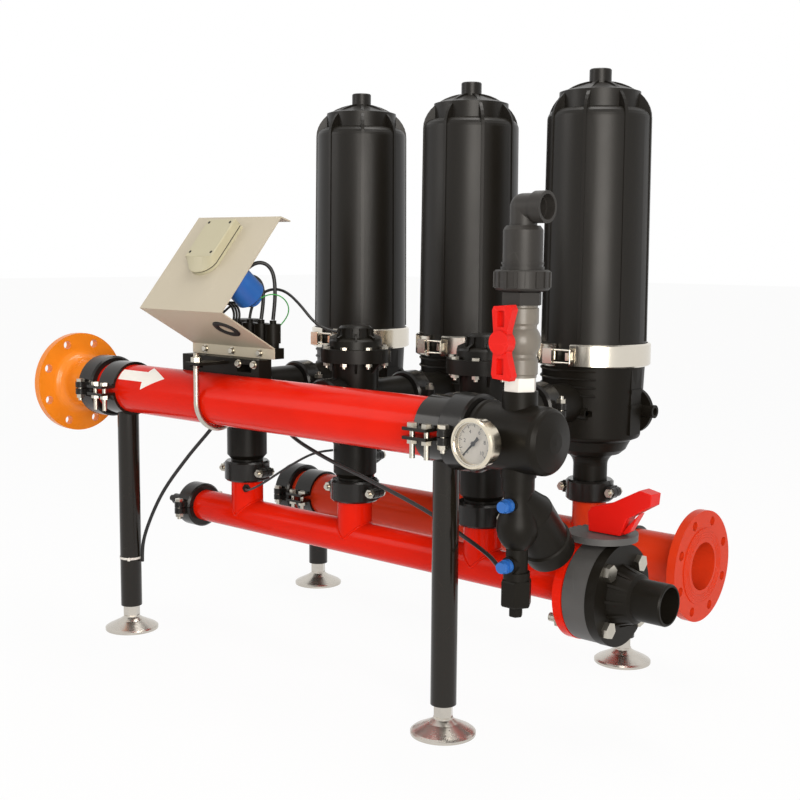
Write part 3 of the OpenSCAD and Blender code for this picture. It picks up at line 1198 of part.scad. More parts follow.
air_nipple();
ball_valve_body();
ball_valve_ball();
ball_valve_handle();
air_vent();
gauge_case();
gauge_lens();
gauge_pointer();
strainer_body();
strainer_caps();
push_in_plugs();
drain_valve_body();
drain_valve_disc();
drain_valve_lever();
drain_tail();
drain_valve_bolts();
controller_cover();
controller_box();
controller_bracket();
u_bolt();
pilot_solenoids();
latching_coil();
control_tubes();
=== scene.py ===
# %% [markdown]
# # Dressing a disc filter station
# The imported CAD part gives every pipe, valve and canister its true shape and place. This lesson adds
# what a designer leaves to the workshop: paint, moulded grain, brushed steel, weld beads, threads,
# a printed dial and the small leads round the controller. Everything is in metres, in the CAD frame.

# %% Load the CAD part
import json
import math

import bmesh
import bpy
import numpy as np
from mathutils import Matrix, Vector

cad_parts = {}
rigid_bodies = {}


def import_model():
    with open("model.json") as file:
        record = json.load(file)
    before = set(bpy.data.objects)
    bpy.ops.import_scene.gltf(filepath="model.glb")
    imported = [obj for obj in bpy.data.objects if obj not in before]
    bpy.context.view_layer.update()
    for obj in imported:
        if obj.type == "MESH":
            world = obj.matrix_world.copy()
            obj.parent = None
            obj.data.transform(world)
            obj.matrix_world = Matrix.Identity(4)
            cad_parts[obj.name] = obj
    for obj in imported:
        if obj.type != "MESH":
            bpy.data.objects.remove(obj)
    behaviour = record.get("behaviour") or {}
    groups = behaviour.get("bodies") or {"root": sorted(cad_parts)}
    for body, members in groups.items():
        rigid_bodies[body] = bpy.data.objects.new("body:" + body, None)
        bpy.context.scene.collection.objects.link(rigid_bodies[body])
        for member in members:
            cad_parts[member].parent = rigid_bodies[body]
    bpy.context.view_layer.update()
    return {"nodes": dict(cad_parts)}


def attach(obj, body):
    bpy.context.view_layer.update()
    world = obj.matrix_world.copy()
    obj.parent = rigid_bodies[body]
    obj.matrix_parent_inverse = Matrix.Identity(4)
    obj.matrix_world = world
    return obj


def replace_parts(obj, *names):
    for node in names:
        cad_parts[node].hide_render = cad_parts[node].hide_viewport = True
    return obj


for leftover in list(bpy.data.objects):
    bpy.data.objects.remove(leftover)
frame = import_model()
nodes = frame["nodes"]
scene = bpy.context.scene

# %% [markdown]
# The station was drawn with the middle unit at X 0 and the inlet pipe at Y 0, and then shifted so that
# its box is centred. Pieces could be placed in metres straight away, but a fitter reads millimetres off
# the station, so one function takes those and applies the same shift.

# %% Workshop millimetres to metres
SHIFT = np.array([12.5, 289.25, 0.0])


def place(points):
    """Workshop millimetres as metres in the CAD frame: each point less the shift, over a thousand."""
    return (np.asarray(points, float) - SHIFT) / 1000


print("the drawing's zero lies at", place([0.0, 0.0, 0.0]).tolist())

# %% [markdown]
# The camera stands to the right and in front, a little above the inlet pipe. A Track To constraint could
# aim it, but it would keep the horizon level. Place, aim, lens and a slight roll come from fitting the
# pipe ends, flanges and canister tops, so its three directions are worked out and set as one matrix.

# %% Camera
EYE = place([1783.3, -1686.6, 874.4])
YAW, PITCH, ROLL = math.radians(41.41), math.radians(6.88), math.radians(0.463)
SENSOR, LENS = 36.0, 55.76
ahead = np.array([-math.sin(YAW) * math.cos(PITCH), math.cos(YAW) * math.cos(PITCH), -math.sin(PITCH)])
level = np.array([math.cos(YAW), math.sin(YAW), 0.0])
upright = np.cross(level, ahead)
right = math.cos(ROLL) * level + math.sin(ROLL) * upright
above = math.cos(ROLL) * upright - math.sin(ROLL) * level
facing = Matrix(np.column_stack([right, above, -ahead])).to_4x4()
camera = bpy.data.objects.new("camera", bpy.data.cameras.new("camera"))
camera.data.sensor_width = SENSOR
camera.data.lens = LENS
camera.matrix_world = Matrix.Translation(EYE) @ facing
scene.collection.objects.link(camera)
scene.camera = camera
scene.view_settings.view_transform = "Standard"
print("camera at", [round(v, 3) for v in camera.location])

# %% [markdown]
# The background is plain white. A bright world could give that, but it would wash out the paint. So the
# world is white only to the camera, to reflections and through glass, and to all else it is a weak,
# slightly warm light. A helper adds one node at a time and links it, because every tree below needs that.

# %% White world
LIT_COLOUR, LIT_STRENGTH = (1.0, 0.96, 0.92, 1.0), 0.36


def wire(tree, kind, links=(), **settings):
    """Adds one node to a tree, sets its properties, and links or fills its inputs by name or number."""
    node = tree.nodes.new(kind)
    for key, value in settings.items():
        setattr(node, key, value)
    for socket, source in dict(links).items():
        if isinstance(source, bpy.types.NodeSocket):
            tree.links.new(source, node.inputs[socket])
        else:
            node.inputs[socket].default_value = source
    return node


def result(tree, operation, a, b):
    """What one Math node makes of a and b."""
    return wire(tree, "ShaderNodeMath", {0: a, 1: b}, operation=operation).outputs[0]


def seen_rays(tree):
    """1 for a ray from the camera, off a glossy surface or through glass, and 0 for any other."""
    path = wire(tree, "ShaderNodeLightPath").outputs
    plain = result(tree, "MAXIMUM", path["Is Camera Ray"], path["Is Glossy Ray"])
    return result(tree, "MAXIMUM", plain, path["Is Transmission Ray"])


world = bpy.data.worlds.new("studio")
scene.world = world
world.use_nodes = True
sky = world.node_tree
sky.nodes.clear()
lit = wire(sky, "ShaderNodeBackground", {"Color": LIT_COLOUR, "Strength": LIT_STRENGTH})
white = wire(sky, "ShaderNodeBackground", {"Color": (1.0, 1.0, 1.0, 1.0)})
both = wire(sky, "ShaderNodeMixShader", {0: seen_rays(sky), 1: lit.outputs[0], 2: white.outputs[0]})
wire(sky, "ShaderNodeOutputWorld", {"Surface": both.outputs[0]})
print("world of", len(sky.nodes), "nodes lights at", LIT_STRENGTH)

# %% [markdown]
# The floor is one large square a hair under the feet. A floor of pure white would lose the soft shadow
# that shows where the station stands, and a plain pale one would end in a grey line. So it mixes mostly
# white with a small share of its own matt shading, and the shadow falls on that share.

# %% Pale floor
FLOOR_REACH, FLOOR_DROP = 30.0, 0.0005
FLOOR_COLOUR, WHITE_SHARE = (0.9, 0.89, 0.88, 1.0), 0.95
floor_corners = np.array([(-1, -1, 0), (1, -1, 0), (1, 1, 0), (-1, 1, 0)]) * FLOOR_REACH - (0, 0, FLOOR_DROP)
floor_mesh = bpy.data.meshes.new("floor")
floor_mesh.from_pydata(floor_corners.tolist(), [], [(0, 1, 2, 3)])
floor = bpy.data.objects.new("floor", floor_mesh)
scene.collection.objects.link(floor)
floor_paint = bpy.data.materials.new("pale_floor")
floor_paint.use_nodes = True
ground = floor_paint.node_tree
ground.nodes.clear()
matt = wire(ground, "ShaderNodeBsdfDiffuse", {"Color": FLOOR_COLOUR})
glow = wire(ground, "ShaderNodeEmission")
share = result(ground, "MULTIPLY", seen_rays(ground), WHITE_SHARE)
both = wire(ground, "ShaderNodeMixShader", {0: share, 1: matt.outputs[0], 2: glow.outputs[0]})
wire(ground, "ShaderNodeOutputMaterial", {"Surface": both.outputs[0]})
floor_mesh.materials.append(floor_paint)
print("floor of", 2 * FLOOR_REACH, "m a side")

# %% [markdown]
# Three soft lamps make a plain studio: a warm key from the right, a weak fill from the left and one
# overhead. A sun lamp is simpler, but its shadows are hard. Large rectangles also give the long soft
# streaks that show how round a glossy canister is.

# %% Lamps
def soft_lamp(name, spot, target, size, power, tint):
    """A rectangular area lamp at spot that faces target, its places and size in metres, power in watts."""
    data = bpy.data.lights.new(name, "AREA")
    data.shape = "RECTANGLE"
    data.size, data.size_y = size
    data.energy = power
    data.color = tint
    lamp = bpy.data.objects.new(name, data)
    lamp.location = spot
    lamp.rotation_euler = (Vector(target) - Vector(spot)).to_track_quat("-Z", "Y").to_euler()
    lamp.visible_camera = False
    scene.collection.objects.link(lamp)
    print(name, "lamp of", power, "W")


soft_lamp("key", (3.4, -2.9, 1.4), (0.0, 0.1, 0.7), (2.3, 2.4), 175.0, (1.0, 0.95, 0.88))
soft_lamp("fill", (-2.2, -2.6, 1.9), (0.0, 0.0, 0.6), (1.2, 1.8), 22.0, (1.0, 0.97, 0.94))
soft_lamp("top", (0.2, 0.4, 3.4), (0.0, 0.1, 0.6), (2.4, 1.0), 45.0, (1.0, 0.97, 0.93))

# %% [markdown]
# Paint, plastic and steel share a few small effects: grain, dust, brushed lines and scuffs. They could be
# drawn again in each material, but a node group with named sockets is made once and takes its own values
# in each. A group only puts out masks and heights; the shader itself stays in the material.

# %% Helpers for shared effects
def effect(name, inputs, outputs):
    """A new node group with its input and output nodes. inputs are labels with start values, a number or
    a vector each, and outputs are labels of numbers."""
    tree = bpy.data.node_groups.new(name, "ShaderNodeTree")
    for label, start in inputs:
        kind = "NodeSocketVector" if isinstance(start, tuple) else "NodeSocketFloat"
        tree.interface.new_socket(label, in_out="INPUT", socket_type=kind).default_value = start
    for label in outputs:
        tree.interface.new_socket(label, in_out="OUTPUT", socket_type="NodeSocketFloat")
    print("effect", name, "gives", outputs)
    return tree, tree.nodes.new("NodeGroupInput"), tree.nodes.new("NodeGroupOutput")


def noise(tree, spot, scale, detail, rough=0.5):
    """The value of a noise texture at spot."""
    links = {"Vector": spot, "Scale": scale, "Detail": detail, "Roughness": rough}
    return wire(tree, "ShaderNodeTexNoise", links).outputs["Fac"]


def spread(tree, value, low, high):
    """The value's share of the way from low to high, held between 0 and 1."""
    links = {"Value": value, "From Min": low, "From Max": high}
    return wire(tree, "ShaderNodeMapRange", links).outputs[0]


# %% [markdown]
# A moulded or sprayed surface is never smooth: it has a fine grain, and broad patches that are a little
# darker or duller. A picture of it would need unwrapping. Noise in Object coordinates needs none, and it
# keeps its scale from piece to piece.

# %% Moulded grain
grain, given, made = effect("moulded_grain", [("Scale", 900.0), ("Patch Scale", 9.0)], ["Height", "Patch"])
spot = wire(grain, "ShaderNodeTexCoord").outputs["Object"]
grain.links.new(noise(grain, spot, given.outputs["Scale"], 3.0, 0.6), made.inputs["Height"])
grain.links.new(noise(grain, spot, given.outputs["Patch Scale"], 4.0, 0.55), made.inputs["Patch"])
print(grain.name, "has", len(grain.nodes), "nodes")

# %% [markdown]
# Dust lies on faces that look up. It could be painted by hand, but the surface's own normal already says
# which way it looks, so its Z, broken up by noise, is the mask.

# %% Settled dust
dust, given, made = effect("settled_dust", [("Amount", 0.3), ("Scale", 14.0)], ["Mask"])
normal = wire(dust, "ShaderNodeNewGeometry").outputs["Normal"]
upward = wire(dust, "ShaderNodeSeparateXYZ", {0: normal}).outputs["Z"]
spot = wire(dust, "ShaderNodeTexCoord").outputs["Object"]
cloud = spread(dust, noise(dust, spot, given.outputs["Scale"], 6.0, 0.65), 0.35, 0.75)
film = result(dust, "MULTIPLY", spread(dust, upward, 0.35, 1.0), cloud)
dust.links.new(result(dust, "MULTIPLY", film, given.outputs["Amount"]), made.inputs["Mask"])
print(dust.name, "has", len(dust.nodes), "nodes")

# %% [markdown]
# Rolled strip is brushed along its length, so its marks are long one way and very close the other. An
# anisotropic shader gives the sheen of that but no lines, so noise is stretched instead: the coordinates
# are multiplied by a different number along each axis.

# %% Brushed lines
brushed, given, made = effect("brushed_lines", [("Stretch", (8.0, 8.0, 2200.0))], ["Height"])
spot = wire(brushed, "ShaderNodeTexCoord").outputs["Object"]
drawn = wire(brushed, "ShaderNodeVectorMath", {0: spot, 1: given.outputs["Stretch"]}, operation="MULTIPLY")
brushed.links.new(noise(brushed, drawn.outputs[0], 1.0, 3.0, 0.7), made.inputs["Height"])
print(brushed.name, "has", len(brushed.nodes), "nodes")

# %% [markdown]
# Handling leaves a few thin scuffs. Painted strokes would suit one piece only. The edges between Voronoi
# cells are thin lines everywhere, and noise keeps them in a few places.

# %% Thin scuffs
SCUFF_WIDTH, RARE_SCALE = 0.012, 0.7
scuffs, given, made = effect("thin_scuffs", [("Scale", 22.0), ("Amount", 0.5)], ["Mask"])
size = given.outputs["Scale"]
spot = wire(scuffs, "ShaderNodeTexCoord").outputs["Object"]
cells = wire(scuffs, "ShaderNodeTexVoronoi", {"Vector": spot, "Scale": size}, feature="DISTANCE_TO_EDGE")
line = spread(scuffs, cells.outputs["Distance"], SCUFF_WIDTH, 0.0)
rare = spread(scuffs, noise(scuffs, spot, result(scuffs, "MULTIPLY", size, RARE_SCALE), 2.0), 0.56, 0.66)
stroke = result(scuffs, "MULTIPLY", line, rare)
scuffs.links.new(result(scuffs, "MULTIPLY", stroke, given.outputs["Amount"]), made.inputs["Mask"])
print(scuffs.name, "has", len(scuffs.nodes), "nodes")

# %% [markdown]
# One recipe makes every finish, so that all of them weather alike. It starts from the written colour,
# lets broad patches darken it a little, lays scuffs and dust over it, and drives roughness and a fine
# bump from the same masks. What is the same all over a surface is set on the shader itself.

# %% The recipe for a finish
WORN_GAIN, WORN_LIFT = 1.25, 0.05
DUST_COLOUR, DUST_COVER, DUST_DULLS = (0.42, 0.38, 0.32), 0.25, 0.35
SMOOTHEST, ROUGHEST = 0.8, 1.25
BUMP_STRENGTH, COAT_ROUGH = 0.6, 0.08


def placed(tree, group, values):
    """The outputs of a shared effect, placed in a material with its own values."""
    return wire(tree, "ShaderNodeGroup", values, node_tree=group).outputs


def blended(tree, mask, base, over):
    """A colour that is base where the mask is 0 and over where it is 1."""
    return wire(tree, "ShaderNodeMix", {0: mask, 6: base, 7: over}, data_type="RGBA").outputs[2]


def finish_of(name, colour, rough, *, metal=0.0, gloss=0.35, coat=0.0, clear=0.0, patch=0.12,
              patch_scale=9.0, grain_scale=900.0, bump=0.08, dusty=0.25, scuffed=0.25, worn=None,
              stretch=None):
    """A Principled material from a colour and a roughness. patch is how far broad patches darken it, bump
    the height of its grain in millimetres, dusty and scuffed the cover of dust and scuffs, worn the
    scuffs' colour, and stretch the brushed lines' closeness along X, Y and Z."""
    paint = bpy.data.materials.new(name)
    paint.use_nodes = True
    tree = paint.node_tree
    tree.nodes.clear()
    surface = placed(tree, grain, {"Scale": grain_scale, "Patch Scale": patch_scale})
    film = placed(tree, dust, {"Amount": dusty})["Mask"]
    marks = placed(tree, scuffs, {"Amount": scuffed})["Mask"]
    dark = tuple(c * (1.0 - patch) for c in colour)
    worn = worn or tuple(min(1.0, c * WORN_GAIN + WORN_LIFT) for c in colour)
    pale = tuple((1.0 - DUST_COVER) * c + DUST_COVER * d for c, d in zip(colour, DUST_COLOUR))
    tone = blended(tree, surface["Patch"], (*colour, 1.0), (*dark, 1.0))
    tone = blended(tree, marks, tone, (*worn, 1.0))
    tone = blended(tree, film, tone, (*pale, 1.0))
    smooth, dull = rough * SMOOTHEST, min(1.0, rough * ROUGHEST)
    range_links = {"Value": surface["Patch"], "To Min": smooth, "To Max": dull}
    shine = wire(tree, "ShaderNodeMapRange", range_links).outputs[0]
    shine = result(tree, "ADD", shine, result(tree, "MULTIPLY", film, DUST_DULLS))
    height = placed(tree, brushed, {"Stretch": stretch})["Height"] if stretch else surface["Height"]
    bump_links = {"Height": height, "Strength": BUMP_STRENGTH, "Distance": bump / 1000}
    relief = wire(tree, "ShaderNodeBump", bump_links).outputs[0]
    shader = wire(tree, "ShaderNodeBsdfPrincipled", {
        "Base Color": tone, "Metallic": metal, "Roughness": shine, "Specular IOR Level": gloss,
        "Coat Weight": coat, "Coat Roughness": COAT_ROUGH, "Transmission Weight": clear, "Normal": relief})
    wire(tree, "ShaderNodeOutputMaterial", {"Surface": shader.outputs[0]})
    return paint


def dress(finish, *names):
    """Gives CAD nodes one finish."""
    for name in names:
        nodes[name].data.materials.clear()
        nodes[name].data.materials.append(finish)
    print(finish.name, "on", len(names), "nodes")


# %% [markdown]
# The manifolds are sprayed in a thick red and the inlet spool in orange. A plain red with strong gloss
# would go pink where the lamps reflect, so the gloss is low and the roughness too: the reflection stays
# sharp and the red stays deep. The slight orange peel of such paint is a broad, shallow bump. The outlet
# manifold is the same red: its lighter, more orange copy is painted warm light.

# %% Sprayed paints
red_paint = finish_of("red_paint", (0.74, 0.013, 0.002), 0.18, gloss=0.08, patch=0.22, patch_scale=6.0,
                      grain_scale=160.0, bump=0.05, dusty=0.1, scuffed=0.05)
# The same red as red_paint, lighter and more orange: painted warm light on the outlet manifold and its
# flange.
warm_lit_outlet_red = finish_of("warm_lit_outlet_red", (0.66, 0.042, 0.01), 0.24, gloss=0.1, patch=0.15,
                         grain_scale=160.0, bump=0.05, dusty=0.1, scuffed=0.05)
orange_paint = finish_of("orange_paint", (0.86, 0.25, 0.015), 0.26, gloss=0.3, coat=0.12, patch=0.2,
                         patch_scale=11.0, grain_scale=160.0, bump=0.06, dusty=0.12)
dress(red_paint, "inlet_manifold", "drain_manifold")
dress(warm_lit_outlet_red, "outlet_manifold")
dress(orange_paint, "inlet_flange")

# %% [markdown]
# The legs are coated in smooth black, the couplings are cast iron under black paint, and the controller's
# cover is folded sheet in a cream powder coat. One black would do from far away. Close up, the casting
# needs a deep, coarse bump, the leg almost none, and the powder coat a fine, dull one.

# %% Coated steel and castings
leg_paint = finish_of("leg_paint", (0.011, 0.009, 0.0065), 0.14, gloss=0.28, coat=0.08, grain_scale=220.0,
                      bump=0.03, dusty=0.05, scuffed=0.04, worn=(0.2, 0.17, 0.14))
cast_paint = finish_of("cast_paint", (0.014, 0.013, 0.012), 0.2, gloss=0.22, coat=0.06, patch=0.3,
                       grain_scale=420.0, bump=0.3, dusty=0.08, scuffed=0.08, worn=(0.16, 0.15, 0.14))
cover_paint = finish_of("cover_paint", (0.5, 0.455, 0.36), 0.48, gloss=0.3, patch=0.06, grain_scale=1300.0,
                        bump=0.05, dusty=0.05, scuffed=0.12)
dress(leg_paint, "support_legs", "leg_clamp_caps")
dress(cast_paint, "main_couplings", "branch_couplings", "outlet_end_cap", "drain_end_cap")
dress(cover_paint, "controller_cover")

# %% [markdown]
# The canisters, bases and valves are glass-filled nylon. It is never a pure black: it has a fine spark
# texture and a satin sheen, and the thick valve bodies show cloudy flow patches. One black for all would
# be quicker, but the parts come from different moulds, so each gets its own patches and sheen.

# %% Black plastics
shell_black = finish_of("shell_black", (0.0085, 0.007, 0.005), 0.36, gloss=0.24, patch=0.25, patch_scale=5.0,
                        grain_scale=1500.0, bump=0.03, dusty=0.05, scuffed=0.03)
base_black = finish_of("base_black", (0.009, 0.0076, 0.0056), 0.38, gloss=0.11, patch=0.35, patch_scale=14.0,
                       grain_scale=1100.0, bump=0.06, dusty=0.1, scuffed=0.05)
valve_black = finish_of("valve_black", (0.008, 0.0068, 0.005), 0.34, gloss=0.15, patch=0.4, patch_scale=22.0,
                        dusty=0.1, scuffed=0.05)
vent_black = finish_of("vent_black", (0.03, 0.028, 0.026), 0.4, gloss=0.22, patch=0.25, patch_scale=20.0,
                       grain_scale=1200.0, bump=0.05)
dress(shell_black, "filter_shell_1", "filter_shell_2", "filter_shell_3")
dress(base_black, "filter_base_1", "filter_base_2", "filter_base_3", "end_chamber", "strainer_body",
      "strainer_caps", "drain_tail", "controller_bracket", "pilot_solenoids", "disc_spines")
dress(valve_black, "valve_bodies", "valve_drain_bodies", "valve_bonnets", "valve_plunger_1",
      "valve_plunger_2", "valve_plunger_3")
dress(vent_black, "air_vent")

# %% [markdown]
# The two hand valves are grey mouldings with red handles, and the small fittings are white, ivory and
# blue. Flat colours would look like toys. A faint patch and a fine grain are enough here, because such
# parts are clean and small.

# %% Coloured plastics
pvc_grey = finish_of("pvc_grey", (0.155, 0.14, 0.118), 0.3, gloss=0.4, patch_scale=16.0,
                     grain_scale=1000.0, bump=0.04, dusty=0.15)
wafer_grey = finish_of("wafer_grey", (0.075, 0.074, 0.074), 0.42, gloss=0.34, patch=0.2, patch_scale=16.0,
                       grain_scale=1000.0, bump=0.06, dusty=0.2)
handle_red = finish_of("handle_red", (0.66, 0.01, 0.006), 0.33, gloss=0.2, patch_scale=18.0,
                       grain_scale=1300.0, bump=0.03, dusty=0.12)
nylon_white = finish_of("nylon_white", (0.74, 0.73, 0.7), 0.38, patch=0.08, grain_scale=1200.0,
                        bump=0.03, dusty=0.1)
ivory = finish_of("ivory", (0.47, 0.44, 0.31), 0.4, patch=0.05, grain_scale=1500.0,
                  bump=0.03, dusty=0.05, scuffed=0.1)
plug_blue = finish_of("plug_blue", (0.02, 0.12, 0.42), 0.34, gloss=0.4, patch_scale=30.0,
                      grain_scale=1300.0, bump=0.03)
dress(pvc_grey, "ball_valve_body")
dress(wafer_grey, "drain_valve_body", "drain_valve_disc")
dress(handle_red, "ball_valve_handle", "drain_valve_lever")
dress(nylon_white, "air_nipple", "ball_valve_ball")
dress(ivory, "controller_box")
dress(plug_blue, "push_in_plugs", "latching_coil")

# %% [markdown]
# Control tubes are extruded nylon, the seals are dull rubber, and the filter discs inside are an orange
# polymer. A lighter colour could tell rubber from black plastic, but the real difference is its sheen, so
# its roughness is much higher.

# %% Tubes, seals and discs
tube_black = finish_of("tube_black", (0.012, 0.012, 0.012), 0.38, patch=0.15, patch_scale=30.0,
                       grain_scale=700.0, bump=0.03, dusty=0.1)
seal_rubber = finish_of("seal_rubber", (0.018, 0.018, 0.018), 0.65, gloss=0.25, grain_scale=600.0, bump=0.1)
disc_orange = finish_of("disc_orange", (0.5, 0.1, 0.02), 0.45, patch=0.2)
dress(tube_black, "control_tubes")
dress(seal_rubber, "rubber_seals")
dress(disc_orange, "disc_stacks")

# %% [markdown]
# The band clamps are rolled stainless strip, so their brushed lines run round the band and lie close
# together in height. Bolts are zinc plated with a faint warm tone, and the feet are turned steel. A
# metal takes its look from what it reflects, so its colour stays pale and its roughness does the work.

# %% Metals
strip_steel = finish_of("strip_steel", (0.72, 0.67, 0.58), 0.2, metal=1.0, gloss=0.5, bump=0.012,
                        dusty=0.04, scuffed=0.15, stretch=(6.0, 6.0, 1800.0))
foot_steel = finish_of("foot_steel", (0.62, 0.58, 0.52), 0.24, metal=1.0, gloss=0.5, patch=0.25,
                       patch_scale=30.0, grain_scale=500.0, bump=0.03, dusty=0.3)
zinc = finish_of("zinc", (0.62, 0.58, 0.5), 0.28, metal=1.0, gloss=0.5, patch=0.3, patch_scale=60.0,
                 grain_scale=800.0, bump=0.03, dusty=0.2)
dress(strip_steel, "band_clamps", "clamp_latch_1", "clamp_latch_2", "clamp_latch_3")
dress(foot_steel, "foot_1", "foot_2", "foot_3", "foot_4")
dress(zinc, "coupling_bolts", "valve_flange_bolts", "leg_clamp_bolts", "drain_valve_bolts", "u_bolt")

# %% [markdown]
# The pressure gauge has a steel bezel, a black pointer and a glass lens. The bezel's warm, brass-like
# colour is pale steel with a painted warm reflection. A lens could be left out of a render, but its
# reflection tells that there is glass. It lets light through with almost no roughness, and no dust or
# grain lies on it.

# %% Gauge finishes
# Pale steel tinted warm and gold: a painted warm reflection on the bezel.
warm_reflection_bezel = finish_of("warm_reflection_bezel", (0.78, 0.7, 0.56), 0.2, metal=1.0, gloss=0.5, patch_scale=40.0,
                        grain_scale=700.0, bump=0.01, dusty=0.1)
needle_black = finish_of("needle_black", (0.01, 0.01, 0.01), 0.5, grain_scale=2000.0, bump=0.01)
lens_glass = finish_of("lens_glass", (0.97, 0.98, 1.0), 0.03, gloss=0.5, clear=1.0, patch=0.0, bump=0.0,
                       dusty=0.0, scuffed=0.0)
dress(warm_reflection_bezel, "gauge_case")
dress(needle_black, "gauge_pointer")
dress(lens_glass, "gauge_lens")
bare = [name for name, node in nodes.items() if not any(slot.material for slot in node.material_slots)]
print("nodes without a finish:", bare)

# %% [markdown]
# The pieces below are meshes made from grids of points. Blender's own primitives and the Screw modifier
# could make some of them, but a grid that numpy works out gives every piece by one rule: a profile spun
# about an axis, or a ring carried along a line.

# %% Grids of points
def skin(rows, loop=False):
    """Faces over a grid of rings: corner j of ring i meets corner j + 1 and ring i + 1, counted round.
    loop joins the last ring to the first; otherwise one face closes each end."""
    count, sides = rows.shape[:2]
    i, j = np.meshgrid(np.arange(count if loop else count - 1), np.arange(sides), indexing="ij")
    after, beside = (i + 1) % count, (j + 1) % sides
    corners = [i * sides + j, i * sides + beside, after * sides + beside, after * sides + j]
    faces = [np.stack(corners, -1).reshape(-1, 4)]
    if not loop:
        ring = np.arange(sides)[None]
        faces += [ring[:, ::-1], ring + (count - 1) * sides]
    return rows.reshape(-1, 3), faces


def turned(profile, sides=40):
    """Rings of points, a profile of radius and height spun about Z: X is the radius times the turn's
    cosine, Y the radius times its sine, and Z the height."""
    radius, height = np.asarray(profile, float).T
    turn = np.linspace(0, 2 * np.pi, sides, endpoint=False)
    x, y = np.outer(radius, np.cos(turn)), np.outer(radius, np.sin(turn))
    return np.stack([x, y, np.outer(height, np.ones(sides))], -1)


def aimed(points, spot, axis):
    """Points turned so that their Z runs along axis, then moved to spot."""
    turn = np.array(Vector(axis).normalized().to_track_quat("Z", "Y").to_matrix())
    return points @ turn.T + np.asarray(spot, float)


def tube(line, radius, sides=12, loop=False, across=(0.1, 1.0, 0.2)):
    """Rings of points round a line. Each ring's first direction is the line's direction crossed with
    across, which the line never runs along, and its second is square to both. A point is the line's
    place plus the radius times the cosine of one and the sine of the other."""
    line = np.asarray(line, float)
    step = np.roll(line, -1, 0) - np.roll(line, 1, 0) if loop else np.gradient(line, axis=0)
    step /= np.linalg.norm(step, axis=1, keepdims=True)
    side = np.cross(step, across)
    side /= np.linalg.norm(side, axis=1, keepdims=True)
    turn = np.linspace(0, 2 * np.pi, sides, endpoint=False)[None, :, None]
    ring = np.cos(turn) * side[:, None] + np.sin(turn) * np.cross(side, step)[:, None]
    return line[:, None] + np.broadcast_to(radius, len(line))[:, None, None] * ring


print("a turned grid has", turned([(1, 0), (1, 1)]).shape, "points and axes")

# %% [markdown]
# Each piece is written in workshop millimetres, joins its skins into one mesh, rides on a CAD body and
# takes its finish. Joining objects with Blender's operator would do it too, but it needs a selection and
# a context; joining the arrays first needs neither.

# %% One mesh from several skins
def add_piece(name, parts, finish, body="station", sharp=32.0):
    """One mesh object out of several skins; each skin's corner numbers go up by the points before it.
    Edges that turn by more than sharp degrees stay crisp."""
    starts = np.cumsum([0] + [len(points) for points, blocks in parts])
    faces = []
    for (points, blocks), start in zip(parts, starts):
        for block in blocks:
            faces += (block + start).tolist()
    mesh = bpy.data.meshes.new(name)
    mesh.from_pydata(place(np.concatenate([points for points, blocks in parts])).tolist(), [], faces)
    work = bmesh.new()
    work.from_mesh(mesh)
    bmesh.ops.recalc_face_normals(work, faces=work.faces)
    work.to_mesh(mesh)
    work.free()
    mesh.polygons.foreach_set("use_smooth", np.ones(len(mesh.polygons), bool))
    mesh.set_sharp_from_angle(angle=math.radians(sharp))
    mesh.materials.append(finish)
    made = bpy.data.objects.new(name, mesh)
    scene.collection.objects.link(made)
    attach(made, body)
    print(name, len(mesh.polygons), "faces")
    return made


# %% [markdown]
# A control tube leaves its fitting straight and swings over in wide bends. A Bezier curve could follow
# it, with two handles to set at each point. A Catmull-Rom line goes through the fitter's points by
# itself, and a few rounds of averaging widen its bends.

# %% Lines for tubes and leads
def eased(line, spacing=4.0, rounds=20):
    """The line at even spacing, each place moved to half of itself plus a quarter of each neighbour, many
    times over, so that bends stay wide. The ends keep their places."""
    run = np.concatenate([[0.0], np.cumsum(np.linalg.norm(np.diff(line, axis=0), axis=1))])
    even = np.linspace(0.0, run[-1], int(run[-1] / spacing) + 1)
    line = np.column_stack([np.interp(even, run, line[:, k]) for k in range(3)])
    for _ in range(rounds):
        line[1:-1] = (line[:-2] + 2 * line[1:-1] + line[2:]) / 4
    return line


def route(points, steps=12):
    """A Catmull-Rom line through points, eased: between b and c it is a cubic whose slopes at the two are
    half of c less a and half of d less b. The end points are doubled."""
    p = np.asarray(points, float)
    p = np.vstack([p[:1], p, p[-1:]])
    t = np.linspace(0, 1, steps, endpoint=False)[None, :, None]
    a, b, c, d = (p[k:len(p) - 3 + k, None] for k in range(4))
    line = 0.5 * (2 * b + (c - a) * t + (2 * a - 5 * b + 4 * c - d) * t**2 + (3 * b - a - 3 * c + d) * t**3)
    return eased(np.vstack([line.reshape(-1, 3), p[-1:]]))


def add_cord(name, points, thick, finish):
    """A round cord of that thickness in millimetres along points."""
    line = route(points)
    cord = add_piece(name, [skin(tube(line, thick / 2))], finish, sharp=60.0)
    return cord
